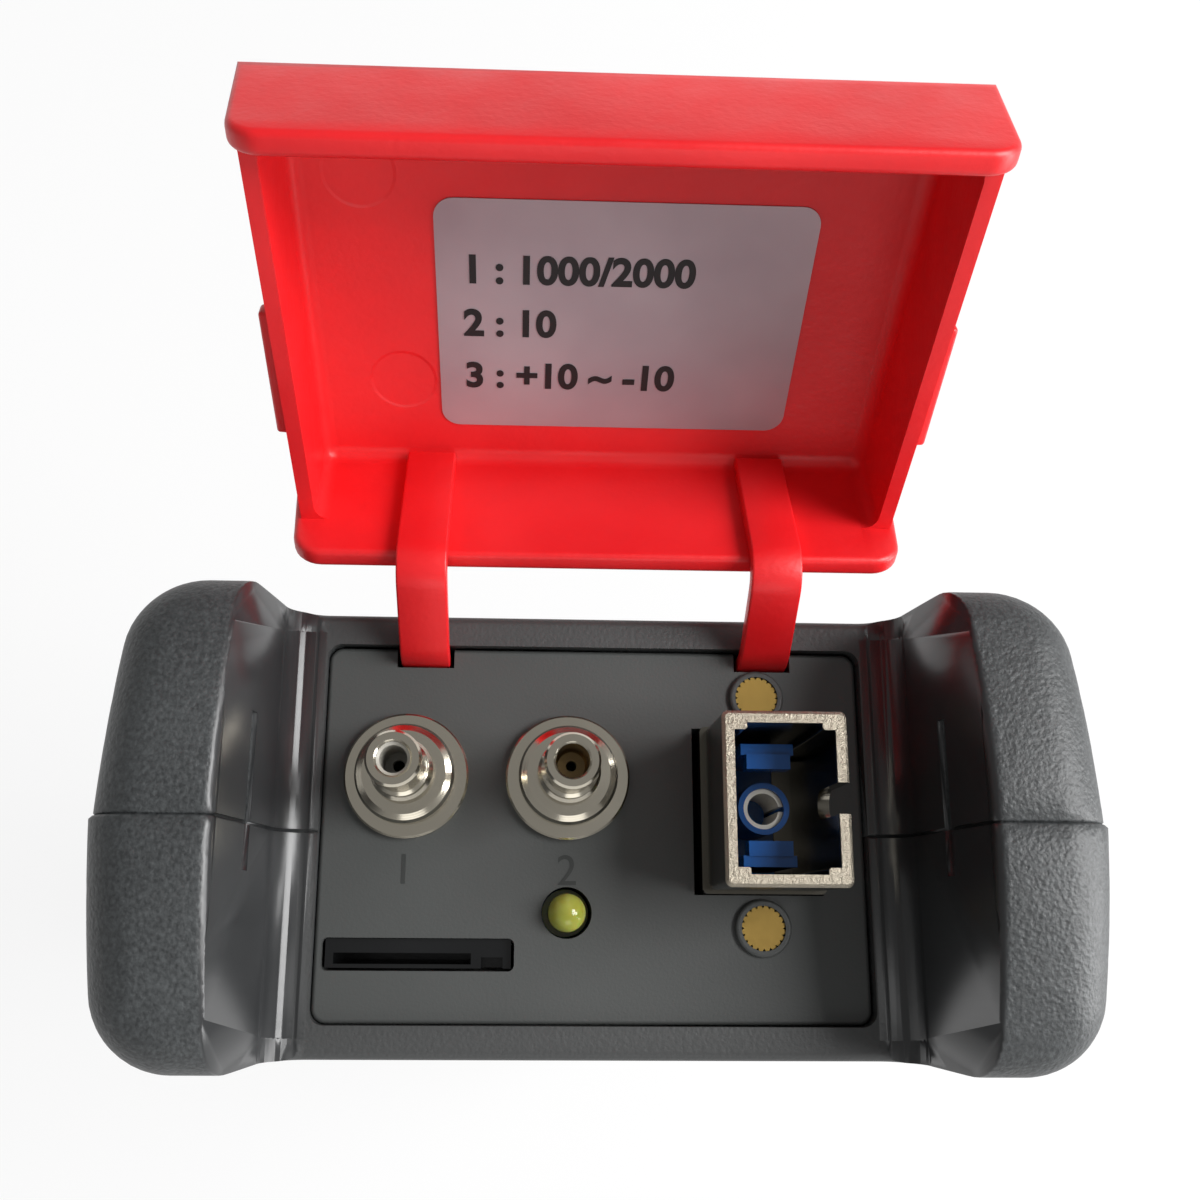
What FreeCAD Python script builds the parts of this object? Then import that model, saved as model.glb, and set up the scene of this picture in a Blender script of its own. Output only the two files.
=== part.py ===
"""Handheld optical time domain reflectometer, modelled as an assembly of separate pieces.

The tester stands upright on its base. +X is to the right as seen from the screen side, +Y is the rear,
+Z is up towards the fibre ports. The origin is the middle of the base. The dust cover is thrown back.
"""
import FreeCAD, Part

import math
import os

import Sketcher

V = FreeCAD.Vector
doc = FreeCAD.newDocument("fibre_tester")

# ---------------------------------------------------------------- driving dimensions, in mm and degrees
DIMENSIONS = {
    # housing shells
    "front_half": 36.0, "front_taper": 1.0, "rear_half": 35.7, "rear_taper": 0.7, "half_depth": 17.5,
    "seam_level": -0.3, "seam_groove": 0.2, "body_height": 160.0, "crown_radius": 54.0, "crown_half": 19.0,
    "plan_corner": 6.0, "rim_radius": 4.5, "base_radius": 2.0, "wall": 2.2, "cavity_corner": 3.0,
    "cavity_half": 32.9, "cavity_low": 2.4, "cavity_high": 142.0, "horn_high": 154.0,
    "border_level": 144.8, "bay_foot_half": 23.3, "bay_rim_half": 26.7, "bay_foot_radius": 1.6,
    "bay_edge_radius": 0.8, "ear_seat_depth": 1.6, "ear_seat_tilt": 10.0, "ear_seat_round": 2.5,
    "ear_seat_foot": 22.7, "ear_seat_rim": 26.9,
    "latch_low": -3.7, "latch_high": 7.9, "latch_level": 152.6, "latch_tall": 1.2, "latch_deep": 1.1,
    "lug_level": 139.0, "lug_radius": 5.2, "lug_lobe": 1.6, "lug_gap": 0.2,
    "boss_across": 27.4, "boss_low": 8.6, "boss_high": 133.6, "boss_radius": 3.4,
    "screw_radius": 1.3, "screw_head": 2.3, "screw_head_level": 4.0,
    # port panel and what it carries
    "panel_level": 144.0, "panel_under": 141.0, "panel_half_wide": 21.95, "panel_half_deep": 14.9,
    "panel_corner": 1.2, "flange_half_wide": 24.8, "flange_half_deep": 15.25, "flange_top": 142.0,
    "one_across": -15.2, "two_across": -2.2, "port_back": 4.2, "port_shank": 3.4,
    "adapter_across": 13.4, "adapter_back": 1.7, "adapter_wide": 9.3, "adapter_deep": 12.75,
    "adapter_top": 154.9, "adapter_foot": 127.0, "cavity_wide": 7.5, "cavity_deep": 10.95,
    "insert_reach": 9.25, "insert_radius": 1.75, "insert_boss": 2.25, "insert_low": 140.2,
    "lamp_across": -2.2, "lamp_back": -6.45, "lamp_radius": 1.5, "lamp_hole": 2.0,
    "card_left": -21.4, "card_right": -6.3, "card_front": -10.95, "card_rear": -8.45,
    "strap_across": 14.0, "strap_wide": 4.0, "strap_thick": 1.2, "strap_back": 13.95,
    # dust cover, in its own frame: its length runs along -Y and its height along +Z
    "cover_foot_half": 23.0, "cover_roof_half": 24.7, "cover_length": 35.0, "cover_height": 13.8,
    "cover_wall": 1.3, "cover_roof": 1.5, "cover_round": 3.8, "ear_thick": 1.3, "ear_extra": 1.0,
    "rib_near": 10.0, "rib_far": 20.8, "rib_level": 7.5, "rib_tall": 0.8, "rib_stand": 0.7,
    "cover_angle": 120.8, "cover_edge_back": 20.2, "cover_edge_level": 149.2,
    # screen and keys
    "glass_half": 29.0, "glass_low": 58.5, "glass_high": 137.5, "glass_seat": 1.2, "glass_thick": 1.0,
    "view_half": 25.0, "view_low": 62.0, "view_high": 128.0, "key_gap": 0.3, "key_proud": 1.2,
    "key_travel": 0.8, "key_skirt": 1.0,
    "board_front": -8.5, "board_back": -6.9, "board_half": 26.0, "frame_front": -11.9, "frame_back": -11.1,
    "keypad_front": -12.6, "keypad_back": -11.4,
    # battery side
    "door_half": 21.0, "door_low": 9.0, "door_high": 92.0, "door_thick": 1.2, "mouth_half": 19.6,
    "mouth_low": 13.0, "mouth_high": 84.5, "cell_radius": 9.15, "cell_low": 16.8, "cell_high": 81.8,
    "cell_across": 9.5, "cell_back": 4.6,
}

sheet = doc.addObject("Spreadsheet::Sheet", "D")
for row, (alias, value) in enumerate(DIMENSIONS.items(), start=1):
    sheet.set("A%d" % row, alias)
    sheet.set("B%d" % row, str(value))
    sheet.setAlias("B%d" % row, alias)
doc.recompute()

NODES = []


# ------------------------------------------------------------------------------------------ small helpers
def size_of(expression):
    """The number that an expression of the sheet's cells stands for."""
    return float(sheet.evalExpression(str(expression)))


def keep(piece, name):
    """Names a finished piece, so that it is checked and written."""
    piece.Label = name
    NODES.append(piece)
    return piece


def new_body(name):
    """An empty body that will become one piece of the assembly."""
    return keep(doc.addObject("PartDesign::Body", name), name)


def sketch_on(body, role, name, lift="0", rise="0", tilt="0"):
    """A sketch on one of the body's own planes, lifted along its normal, raised in it and tilted about X."""
    sketch = body.newObject("Sketcher::SketchObject", name)
    plane = [item for item in body.Origin.OriginFeatures if item.Role == role + "_Plane"][0]
    sketch.AttachmentSupport = [(plane, "")]
    sketch.MapMode = "FlatFace"
    turn = FreeCAD.Rotation(V(1, 0, 0), size_of(tilt))
    sketch.AttachmentOffset = FreeCAD.Placement(V(0, size_of(rise), size_of(lift)), turn)
    if lift != "0":
        sketch.setExpression("AttachmentOffset.Base.z", lift)
    if rise != "0":
        sketch.setExpression("AttachmentOffset.Base.y", rise)
    return sketch


def bind(sketch, kind, geometry, point, expression):
    """Places one point of the sketch from the origin by an expression."""
    index = sketch.addConstraint(Sketcher.Constraint(kind, -1, 1, geometry, point, size_of(expression)))
    sketch.setExpression("Constraints[%d]" % index, expression)


def draw_polygon(sketch, corners):
    """A closed outline whose corners are pairs of expressions."""
    first = sketch.GeometryCount
    spots = [V(size_of(across), size_of(up), 0) for across, up in corners]
    count = len(spots)
    for i in range(count):
        sketch.addGeometry(Part.LineSegment(spots[i], spots[(i + 1) % count]), False)
    for i in range(count):
        following = first + (i + 1) % count
        sketch.addConstraint(Sketcher.Constraint("Coincident", first + i, 2, following, 1))
    for i, (across, up) in enumerate(corners):
        bind(sketch, "DistanceX", first + i, 1, across)
        bind(sketch, "DistanceY", first + i, 1, up)


def draw_rectangle(sketch, left, right, low, high):
    draw_polygon(sketch, [(left, low), (right, low), (right, high), (left, high)])


def draw_circle(sketch, across, up, radius):
    centre = V(size_of(across), size_of(up), 0)
    index = sketch.addGeometry(Part.Circle(centre, V(0, 0, 1), size_of(radius)), False)
    bind(sketch, "DistanceX", index, 3, across)
    bind(sketch, "DistanceY", index, 3, up)
    round_one = sketch.addConstraint(Sketcher.Constraint("Radius", index, size_of(radius)))
    sketch.setExpression("Constraints[%d]" % round_one, radius)


def draw_rounded(sketch, left, right, low, high, radius):
    """A rectangle with four equal round corners, tangent to its sides."""
    r = size_of(radius)
    near_x, far_x = "%s + %s" % (left, radius), "%s - %s" % (right, radius)
    near_y, far_y = "%s + %s" % (low, radius), "%s - %s" % (high, radius)
    turns = [(near_x, near_y, math.pi), (far_x, near_y, 1.5 * math.pi), (far_x, far_y, 0), (near_x, far_y, math.pi / 2)]
    first = sketch.GeometryCount
    centres = [V(size_of(across), size_of(up), 0) for across, up, start in turns]
    for centre, (across, up, start) in zip(centres, turns):
        circle = Part.Circle(centre, V(0, 0, 1), r)
        sketch.addGeometry(Part.ArcOfCircle(circle, start, start + math.pi / 2), False)
    outward = [V(0, -r, 0), V(r, 0, 0), V(0, r, 0), V(-r, 0, 0)]
    for i in range(4):
        following = (i + 1) % 4
        side = Part.LineSegment(centres[i] + outward[i], centres[following] + outward[i])
        line = sketch.addGeometry(side, False)
        sketch.addConstraint(Sketcher.Constraint("Tangent", first + i, 2, line, 1))
        sketch.addConstraint(Sketcher.Constraint("Tangent", line, 2, first + following, 1))
    for i, (across, up, start) in enumerate(turns):
        bind(sketch, "DistanceX", first + i, 3, across)
        bind(sketch, "DistanceY", first + i, 3, up)
        index = sketch.addConstraint(Sketcher.Constraint("Radius", first + i, r))
        sketch.setExpression("Constraints[%d]" % index, radius)


def extrude(body, kind, sketch, length, name, flip=False, both=False):
    """A pad or a pocket, with a check that it changed the solid's volume."""
    doc.recompute()
    before = body.Shape.Volume if body.Tip else 0.0
    feature = body.newObject("PartDesign::" + kind, name)
    feature.Profile = sketch
    feature.Type = "Length"
    feature.Length = size_of(length)
    feature.setExpression("Length", length)
    feature.Reversed = flip
    feature.SideType = "Symmetric" if both else "One side"
    sketch.Visibility = False
    doc.recompute()
    if abs(body.Shape.Volume - before) < 1e-4:
        raise ValueError("%s changed nothing" % name)
    return feature


def pad(body, sketch, length, name, flip=False, both=False):
    return extrude(body, "Pad", sketch, length, name, flip, both)


def pocket(body, sketch, length, name, flip=False, both=False):
    return extrude(body, "Pocket", sketch, length, name, flip, both)


def edges_where(body, wanted):
    """Names of the edges of the body's tip whose middle point, direction and box satisfy a test."""
    names = []
    for index, edge in enumerate(body.Tip.Shape.Edges, start=1):
        middle = edge.valueAt((edge.FirstParameter + edge.LastParameter) / 2)
        if wanted(middle, edge.BoundBox):
            names.append("Edge%d" % index)
    return names


def soften(body, radius, name, wanted, kind="Fillet"):
    """Rounds or chamfers the chosen edges."""
    carrier, names = body.Tip, edges_where(body, wanted)
    if not names:
        raise ValueError("%s found no edge" % name)
    feature = body.newObject("PartDesign::" + kind, name)
    feature.Base = (carrier, names)
    prop = "Radius" if kind == "Fillet" else "Size"
    setattr(feature, prop, size_of(radius))
    feature.setExpression(prop, radius)
    doc.recompute()
    if "Invalid" in feature.State or "Error" in feature.State or feature.Shape.isNull():
        raise ValueError("%s failed on %s" % (name, names))
    return feature


def near(value, target, slack=0.02):
    return abs(value - target) < slack


def upright(box):
    """True for an edge that runs along Z only."""
    return box.XLength < 1e-3 and box.YLength < 1e-3


def block(name, left, right, front, rear, low, high):
    """A plain box between six expressions."""
    item = doc.addObject("Part::Box", name)
    for prop, start, end in (("Length", left, right), ("Width", front, rear), ("Height", low, high)):
        item.setExpression(prop, "(%s) - (%s)" % (end, start))
    for axis, start in (("x", left), ("y", front), ("z", low)):
        item.setExpression("Placement.Base." + axis, "%s" % start)
    return item


def rod(name, across, back, level, radius, length, axis="z"):
    """A plain cylinder that starts at a point and runs along an axis: x, y or z."""
    item = doc.addObject("Part::Cylinder", name)
    turns = {"x": FreeCAD.Rotation(V(0, 1, 0), 90), "y": FreeCAD.Rotation(V(1, 0, 0), -90)}
    if axis in turns:
        item.Placement = FreeCAD.Placement(V(0, 0, 0), turns[axis])
    item.setExpression("Radius", radius)
    item.setExpression("Height", length)
    for letter, start in (("x", across), ("y", back), ("z", level)):
        item.setExpression("Placement.Base." + letter, "%s" % start)
    return item


def joined(name, kind, pieces):
    """A Part::MultiFuse, Part::Compound or Part::Cut of finished primitives."""
    item = doc.addObject("Part::" + kind, name)
    if kind == "Cut":
        item.Base, item.Tool = pieces
    elif kind == "Compound":
        item.Links = pieces
    else:
        item.Shapes = pieces
    return item


# ------------------------------------------------------------------------------------- the two main shells
BAY_SLOPE = "(D.bay_rim_half - D.bay_foot_half) / (D.body_height - D.border_level)"


def bay_outline(sketch, extra, floor, top):
    """The drafted trapezoid between the bumpers, widened by extra, from a floor height to a top height."""
    foot = "D.bay_foot_half + %s" % extra
    rim = "(D.bay_foot_half + %s + (%s - %s) * %s)" % (extra, top, floor, BAY_SLOPE)
    draw_polygon(sketch, [("-(%s)" % foot, floor), (foot, floor), (rim, top), ("-" + rim, top)])


def seat_outline(sketch):
    """The wider seat of a cover's end wall, drawn from its own floor, with a round hollow corner at each foot."""
    foot, rim, radius = (size_of("D.ear_seat_" + part) for part in ("foot", "rim", "round"))
    first = sketch.GeometryCount
    lean = math.atan2(rim - foot - radius, 16 - radius)
    for sign, start, end in ((1, -math.pi / 2, -lean), (-1, math.pi + lean, 1.5 * math.pi)):
        circle = Part.Circle(V(sign * foot, radius, 0), V(0, 0, 1), radius)
        sketch.addGeometry(Part.ArcOfCircle(circle, start, end), False)
    top = [V(rim, 16, 0), V(-rim, 16, 0)]
    tips = [sketch.getPoint(first, 2), sketch.getPoint(first + 1, 1)]
    feet = [sketch.getPoint(first + 1, 2), sketch.getPoint(first, 1)]
    for start, end in ((feet[0], feet[1]), (tips[0], top[0]), (top[0], top[1]), (top[1], tips[1])):
        sketch.addGeometry(Part.LineSegment(start, end), False)
    floor, right, roof, left = range(first + 2, first + 6)
    for one, one_end, two, two_end in ((first + 1, 2, floor, 1), (floor, 2, first, 1), (first, 2, right, 1),
                                       (left, 2, first + 1, 1)):
        sketch.addConstraint(Sketcher.Constraint("Tangent", one, one_end, two, two_end))
    sketch.addConstraint(Sketcher.Constraint("Coincident", right, 2, roof, 1))
    sketch.addConstraint(Sketcher.Constraint("Coincident", roof, 2, left, 1))
    for index, sign in ((first, ""), (first + 1, "-")):
        bind(sketch, "DistanceX", index, 3, sign + "D.ear_seat_foot")
        bind(sketch, "DistanceY", index, 3, "D.ear_seat_round")
        size = sketch.addConstraint(Sketcher.Constraint("Radius", index, radius))
        sketch.setExpression("Constraints[%d]" % size, "D.ear_seat_round")
    for point, sign in ((1, ""), (2, "-")):
        bind(sketch, "DistanceX", roof, point, sign + "D.ear_seat_rim")
        bind(sketch, "DistanceY", roof, point, "16")


def crown_outline(sketch):
    """What is cut away above the crowned top of a shell: a segment over one large arc."""
    radius, reach = size_of("D.crown_radius"), size_of("D.crown_half")
    centre = V(0, size_of("D.body_height") - radius, 0)
    lean = math.acos(reach / radius)
    arc = sketch.addGeometry(Part.ArcOfCircle(Part.Circle(centre, V(0, 0, 1), radius), lean, math.pi - lean), False)
    high = centre.y + radius + 3
    corners = [sketch.getPoint(arc, 1), V(reach, high, 0), V(-reach, high, 0), sketch.getPoint(arc, 2)]
    sides = [sketch.addGeometry(Part.LineSegment(corners[i], corners[i + 1]), False) for i in range(3)]
    for one, one_end, two, two_end in ((arc, 1, sides[0], 1), (sides[0], 2, sides[1], 1), (sides[1], 2, sides[2], 1),
                                       (sides[2], 2, arc, 2)):
        sketch.addConstraint(Sketcher.Constraint("Coincident", one, one_end, two, two_end))
    for side in (sides[0], sides[2]):
        sketch.addConstraint(Sketcher.Constraint("Vertical", side))
    for point, sign in ((1, ""), (2, "-")):
        bind(sketch, "DistanceX", sides[1], point, sign + "D.crown_half")
        bind(sketch, "DistanceY", sides[1], point, "D.body_height + 3")
    sketch.addConstraint(Sketcher.Constraint("PointOnObject", arc, 3, -2))
    bind(sketch, "DistanceY", arc, 3, "D.body_height - D.crown_radius")
    size = sketch.addConstraint(Sketcher.Constraint("Radius", arc, radius))
    sketch.setExpression("Constraints[%d]" % size, "D.crown_radius")


def hollow_outline(sketch):
    """The inside of a shell: one room below the port panel with a horn in each bumper."""
    horn = "(D.bay_foot_half + 2.25 + (%s - D.border_level) * %s)"
    low, high = horn % ("D.cavity_high", BAY_SLOPE), horn % ("D.horn_high", BAY_SLOPE)
    right = [("D.cavity_half", "D.cavity_low"), ("D.cavity_half", "D.horn_high"), (high, "D.horn_high")]
    right += [(low, "D.cavity_high")]
    left = [("-" + across, up) for across, up in reversed(right)]
    draw_polygon(sketch, right + left)


def lug_outline(sketch, outer):
    """The half-round lanyard eye on the left side; its root reaches into the shell's wall."""
    wall = "-D.rear_half + 0.8"
    centre = V(size_of(wall), size_of("D.lug_level"), 0)
    radius = size_of(outer)
    arc = Part.ArcOfCircle(Part.Circle(centre, V(0, 0, 1), radius), math.pi / 2, 3 * math.pi / 2)
    curve = sketch.addGeometry(arc, False)
    line = sketch.addGeometry(Part.LineSegment(centre + V(0, radius, 0), centre + V(0, -radius, 0)), False)
    sketch.addConstraint(Sketcher.Constraint("Coincident", curve, 1, line, 1))
    sketch.addConstraint(Sketcher.Constraint("Coincident", curve, 2, line, 2))
    sketch.addConstraint(Sketcher.Constraint("Vertical", line))
    bind(sketch, "DistanceX", curve, 3, wall)
    bind(sketch, "DistanceY", curve, 3, "D.lug_level")
    size = sketch.addConstraint(Sketcher.Constraint("Radius", curve, radius))
    sketch.setExpression("Constraints[%d]" % size, outer)
    sketch.addConstraint(Sketcher.Constraint("PointOnObject", curve, 3, line))


def shell(name, side, half, far_half):
    """One housing half. side is -1 for the screen side and 1 for the rear."""
    body = new_body(name)
    face = "%d * D.half_depth" % side
    plan = sketch_on(body, "XY", name + "_plan")
    draw_polygon(plan, [("-" + half, "D.seam_level"), (half, "D.seam_level"), (far_half, face), ("-(%s)" % far_half, face)])
    pad(body, plan, "D.body_height", name + "_block")
    outer = size_of(face)
    top = size_of("D.body_height")
    seam = size_of("D.seam_level")
    soften(body, "D.plan_corner", name + "_corners", lambda p, b: upright(b) and near(p.y, outer))
    crown = sketch_on(body, "YZ", name + "_crown")
    crown_outline(crown)
    pocket(body, crown, "80", name + "_crown_cut", both=True)
    soften(body, "D.rim_radius", name + "_rim", lambda p, b: p.z > top - 8 and not near(p.y, seam))
    soften(body, "D.base_radius", name + "_base", lambda p, b: near(p.z, 0) and not near(p.y, seam))

    bay = sketch_on(body, "XZ", name + "_bay")
    bay_outline(bay, "0", "D.border_level", "D.body_height + 2")
    pocket(body, bay, "60", name + "_bay_cut", both=True)
    foot, floor = size_of("D.bay_foot_half"), size_of("D.border_level")
    soften(body, "D.bay_foot_radius", name + "_bay_foot",
           lambda p, b: near(abs(p.x), foot) and near(p.z, floor) and b.XLength < 1e-3)
    slope = size_of(BAY_SLOPE)

    def on_bay_edge(p, b):
        """True on the outer edges of the bay: along both rims, over their ends and round the end openings."""
        reach = foot + (p.z - floor) * slope
        rim = p.z > floor + 5 and near(abs(p.x), reach) and not near(p.y, seam)
        return rim or (near(p.y, outer) and p.z > floor - 0.1 and abs(p.x) < reach + 0.02)

    soften(body, "D.bay_edge_radius", name + "_bay_edges", on_bay_edge)
    soften(body, "D.seam_groove", name + "_seam_groove", lambda p, b: near(p.y, seam) and b.YLength < 1e-3,
           kind="Chamfer")

    seat_lift = "%d * (D.half_depth - D.ear_seat_depth)" % -side
    seat = sketch_on(body, "XZ", name + "_seat", lift=seat_lift, rise="D.border_level",
                     tilt="%d * D.ear_seat_tilt" % side)
    seat_outline(seat)
    pocket(body, seat, "8", name + "_seat_cut", flip=side < 0)

    hollow = sketch_on(body, "XZ", name + "_hollow", lift="-D.seam_level")
    hollow_outline(hollow)
    depth = "D.half_depth - D.wall - (%d * D.seam_level)" % side
    pocket(body, hollow, depth, name + "_hollow_cut", flip=side < 0)
    inner = size_of("%d * (D.half_depth - D.wall)" % side)
    room = size_of("D.cavity_half")
    soften(body, "D.cavity_corner", name + "_hollow_corners",
           lambda p, b: upright(b) and near(abs(p.x), room) and near(p.y, inner))

    opening = sketch_on(body, "XY", name + "_opening", lift="D.border_level + 1")
    draw_rounded(opening, "-D.panel_half_wide - 0.05", "D.panel_half_wide + 0.05",
                 "-D.panel_half_deep - 0.05", "D.panel_half_deep + 0.05", "D.panel_corner")
    pocket(body, opening, "6", name + "_opening_cut")
    latch = sketch_on(body, "YZ", name + "_latch")
    draw_rectangle(latch, "D.latch_low", "D.latch_high", "D.latch_level - D.latch_tall / 2",
                   "D.latch_level + D.latch_tall / 2")
    reach = "2 * (D.bay_foot_half + (D.latch_level - D.border_level) * %s + D.latch_deep)" % BAY_SLOPE
    pocket(body, latch, reach, name + "_latch_cut", both=True)

    lobe_lift = "-D.seam_level - D.lug_gap" if side > 0 else "-D.seam_level + D.lug_gap"
    lug = sketch_on(body, "XZ", name + "_lug", lift=lobe_lift)
    lug_outline(lug, "D.lug_radius")
    pad(body, lug, "D.lug_lobe", name + "_lug_pad", flip=side > 0)
    eye = sketch_on(body, "XZ", name + "_eye")
    draw_rectangle(eye, "-D.rear_half - 3.0", "-D.rear_half - 0.6", "D.lug_level - 2.4", "D.lug_level + 2.4")
    pocket(body, eye, "20", name + "_eye_cut", both=True)
    return body


def ledges(body, name, side):
    """Blocks under the ends of the port panel, on the inside of a shell."""
    under = sketch_on(body, "XZ", name + "_ledge", lift="%d * (D.half_depth - D.wall)" % -side)
    for sign in ("-", ""):
        draw_rectangle(under, sign + "22.0", sign + "(D.cavity_half + 0.5)", "D.panel_under - 3",
                       "D.panel_under")
    pad(body, under, "5.5", name + "_ledge_pad", flip=side < 0)


def screw_bosses(body, name, side):
    """Four posts from the inside of a shell to the seam, and their holes."""
    spots = [(sign + "D.boss_across", up) for up in ("D.boss_low", "D.boss_high") for sign in ("-", "")]
    posts = sketch_on(body, "XZ", name + "_posts", lift="-D.seam_level")
    for across, up in spots:
        draw_circle(posts, across, up, "D.boss_radius")
    pad(body, posts, "D.half_depth - D.wall / 2 - (%d * D.seam_level)" % side, name + "_posts_pad", flip=side > 0)
    bores = sketch_on(body, "XZ", name + "_bores", lift="-D.seam_level")
    for across, up in spots:
        draw_circle(bores, across, up, "D.screw_radius")
    pocket(body, bores, "9" if side < 0 else "20", name + "_bores_cut", flip=side < 0)
    if side > 0:
        wells = sketch_on(body, "XZ", name + "_wells", lift="-D.screw_head_level")
        for across, up in spots:
            draw_circle(wells, across, up, "D.screw_head + 0.2")
        pocket(body, wells, "20", name + "_wells_cut")


front_shell = shell("front_shell", -1, "D.front_half", "D.front_half - D.front_taper")
rear_shell = shell("rear_shell", 1, "D.rear_half", "D.rear_half - D.rear_taper")
for shell_body, shell_name, shell_side in ((front_shell, "front_shell", -1), (rear_shell, "rear_shell", 1)):
    ledges(shell_body, shell_name, shell_side)
    screw_bosses(shell_body, shell_name, shell_side)

# ------------------------------------------------------------------ screen side: window, keys, mounting posts
KEYS = {
    "key_back": ("-19", "47", "7.2", "4.2"), "key_up": ("0", "47", "6.0", "4.2"), "key_menu": ("19", "47", "7.2", "4.2"),
    "key_left": ("-19", "33.5", "6.0", "4.6"), "key_enter": ("0", "33.5", "7.2", "5.4"),
    "key_right": ("19", "33.5", "6.0", "4.6"),
    "key_power": ("-19", "20", "7.2", "4.2"), "key_down": ("0", "20", "6.0", "4.2"), "key_test": ("19", "20", "7.2", "4.2"),
}


def key_outline(sketch, place, grow, radius):
    across, up, half_wide, half_tall = place
    draw_rounded(sketch, "%s - %s - %s" % (across, half_wide, grow), "%s + %s + %s" % (across, half_wide, grow),
                 "%s - %s - %s" % (up, half_tall, grow), "%s + %s + %s" % (up, half_tall, grow), radius)


seat = sketch_on(front_shell, "XZ", "glass_seat", lift="D.half_depth")
draw_rounded(seat, "-D.glass_half - 0.1", "D.glass_half + 0.1", "D.glass_low - 0.1", "D.glass_high + 0.1", "3.1")
pocket(front_shell, seat, "D.glass_seat", "glass_seat_cut")
view = sketch_on(front_shell, "XZ", "view_opening", lift="D.half_depth")
draw_rounded(view, "-D.view_half", "D.view_half", "D.view_low", "D.view_high", "1.5")
pocket(front_shell, view, "4", "view_opening_cut")
holes = sketch_on(front_shell, "XZ", "key_openings", lift="D.half_depth")
for place in KEYS.values():
    key_outline(holes, place, "D.key_gap", "2.3")
pocket(front_shell, holes, "4", "key_openings_cut")
pillars = sketch_on(front_shell, "XZ", "display_pillars", lift="11.9")
for sign in ("-", ""):
    for up in ("64", "126"):
        draw_circle(pillars, sign + "30.5", up, "2")
pad(front_shell, pillars, "4", "display_pillars_pad")
pillars = sketch_on(front_shell, "XZ", "keypad_pillars", lift="12.6")
for sign in ("-", ""):
    for up in ("16", "52"):
        draw_circle(pillars, sign + "30.5", up, "2")
pad(front_shell, pillars, "3.3", "keypad_pillars_pad")
inlet = sketch_on(front_shell, "XY", "charge_inlet")
draw_rounded(inlet, "-4.7", "4.7", "-11.6", "-8.0", "1.6")
pocket(front_shell, inlet, "3", "charge_inlet_cut", flip=True)

# ------------------------------------------------------------------------------- rear side: battery door seat
seat = sketch_on(rear_shell, "XZ", "door_seat", lift="-D.half_depth")
draw_rounded(seat, "-D.door_half - 0.15", "D.door_half + 0.15", "D.door_low - 0.15", "D.door_high + 0.15", "3")
pocket(rear_shell, seat, "D.door_thick", "door_seat_cut", flip=True)
mouth = sketch_on(rear_shell, "XZ", "battery_mouth", lift="-D.half_depth")
draw_rounded(mouth, "-D.mouth_half", "D.mouth_half", "D.mouth_low", "D.mouth_high", "2")
pocket(rear_shell, mouth, "4", "battery_mouth_cut", flip=True)
nut_post = sketch_on(rear_shell, "XZ", "door_screw_post", lift="-D.half_depth + D.wall")
draw_circle(nut_post, "0", "88.6", "2.2")
pad(rear_shell, nut_post, "6", "door_screw_post_pad")
nut_bore = sketch_on(rear_shell, "XZ", "door_screw_bore", lift="-D.half_depth")
draw_circle(nut_bore, "0", "88.6", "1.0")
pocket(rear_shell, nut_bore, "7", "door_screw_bore_cut", flip=True)
pads = sketch_on(rear_shell, "XZ", "module_pads", lift="-D.half_depth + D.wall")
for sign in ("-", ""):
    for up in ("95.5", "110.5"):
        draw_circle(pads, sign + "22", up, "2.4")
pad(rear_shell, pads, "2.3", "module_pads_pad")

# ------------------------------------------------------------------------------------------------ port panel
panel = new_body("port_panel")
flange = sketch_on(panel, "XY", "panel_flange", lift="D.panel_under")
draw_rectangle(flange, "-D.flange_half_wide", "D.flange_half_wide", "-D.flange_half_deep", "D.flange_half_deep")
pad(panel, flange, "D.flange_top - D.panel_under", "panel_flange_pad")
raised = sketch_on(panel, "XY", "panel_face", lift="D.flange_top")
draw_rounded(raised, "-D.panel_half_wide", "D.panel_half_wide", "-D.panel_half_deep", "D.panel_half_deep",
             "D.panel_corner - 0.05")
pad(panel, raised, "D.panel_level - D.flange_top", "panel_face_pad")
face_level = size_of("D.panel_level")
soften(panel, "0.35", "panel_face_edge", lambda p, b: near(p.z, face_level))
INSERT_SPOTS = [("D.adapter_across", "D.adapter_back %s D.insert_reach" % sign) for sign in ("+", "-")]
for level, radius, length, flip, name in (("D.panel_level", "D.insert_boss", "0.5", False, "panel_boss"),
                                          ("D.panel_under", "2.9", "1.5", True, "panel_under_boss")):
    boss = sketch_on(panel, "XY", name, lift=level)
    for across, back in INSERT_SPOTS:
        draw_circle(boss, across, back, radius)
    pad(panel, boss, length, name + "_pad", flip=flip)
soften(panel, "0.25", "panel_boss_edge", lambda p, b: near(p.z, face_level + 0.5))
cuts = sketch_on(panel, "XY", "panel_openings", lift="D.panel_level + 1")
for across in ("D.one_across", "D.two_across"):
    draw_circle(cuts, across, "D.port_back", "D.port_shank + 0.1")
for across, back in INSERT_SPOTS:
    draw_circle(cuts, across, back, "D.insert_radius")
draw_circle(cuts, "D.lamp_across", "D.lamp_back", "D.lamp_hole")
draw_rectangle(cuts, "D.adapter_across - 5.4", "D.adapter_across + 5.0", "D.adapter_back - 6.7", "D.adapter_back + 6.7")
draw_rounded(cuts, "D.card_left", "D.card_right", "D.card_front", "D.card_rear", "0.5")
for sign in ("-", ""):
    draw_rectangle(cuts, sign + "(D.strap_across - D.strap_wide / 2 - 0.35)",
                   sign + "(D.strap_across + D.strap_wide / 2 + 0.35)", "D.strap_back - 0.75", "D.flange_half_deep + 1")
pocket(panel, cuts, "8", "panel_openings_cut")


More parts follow.
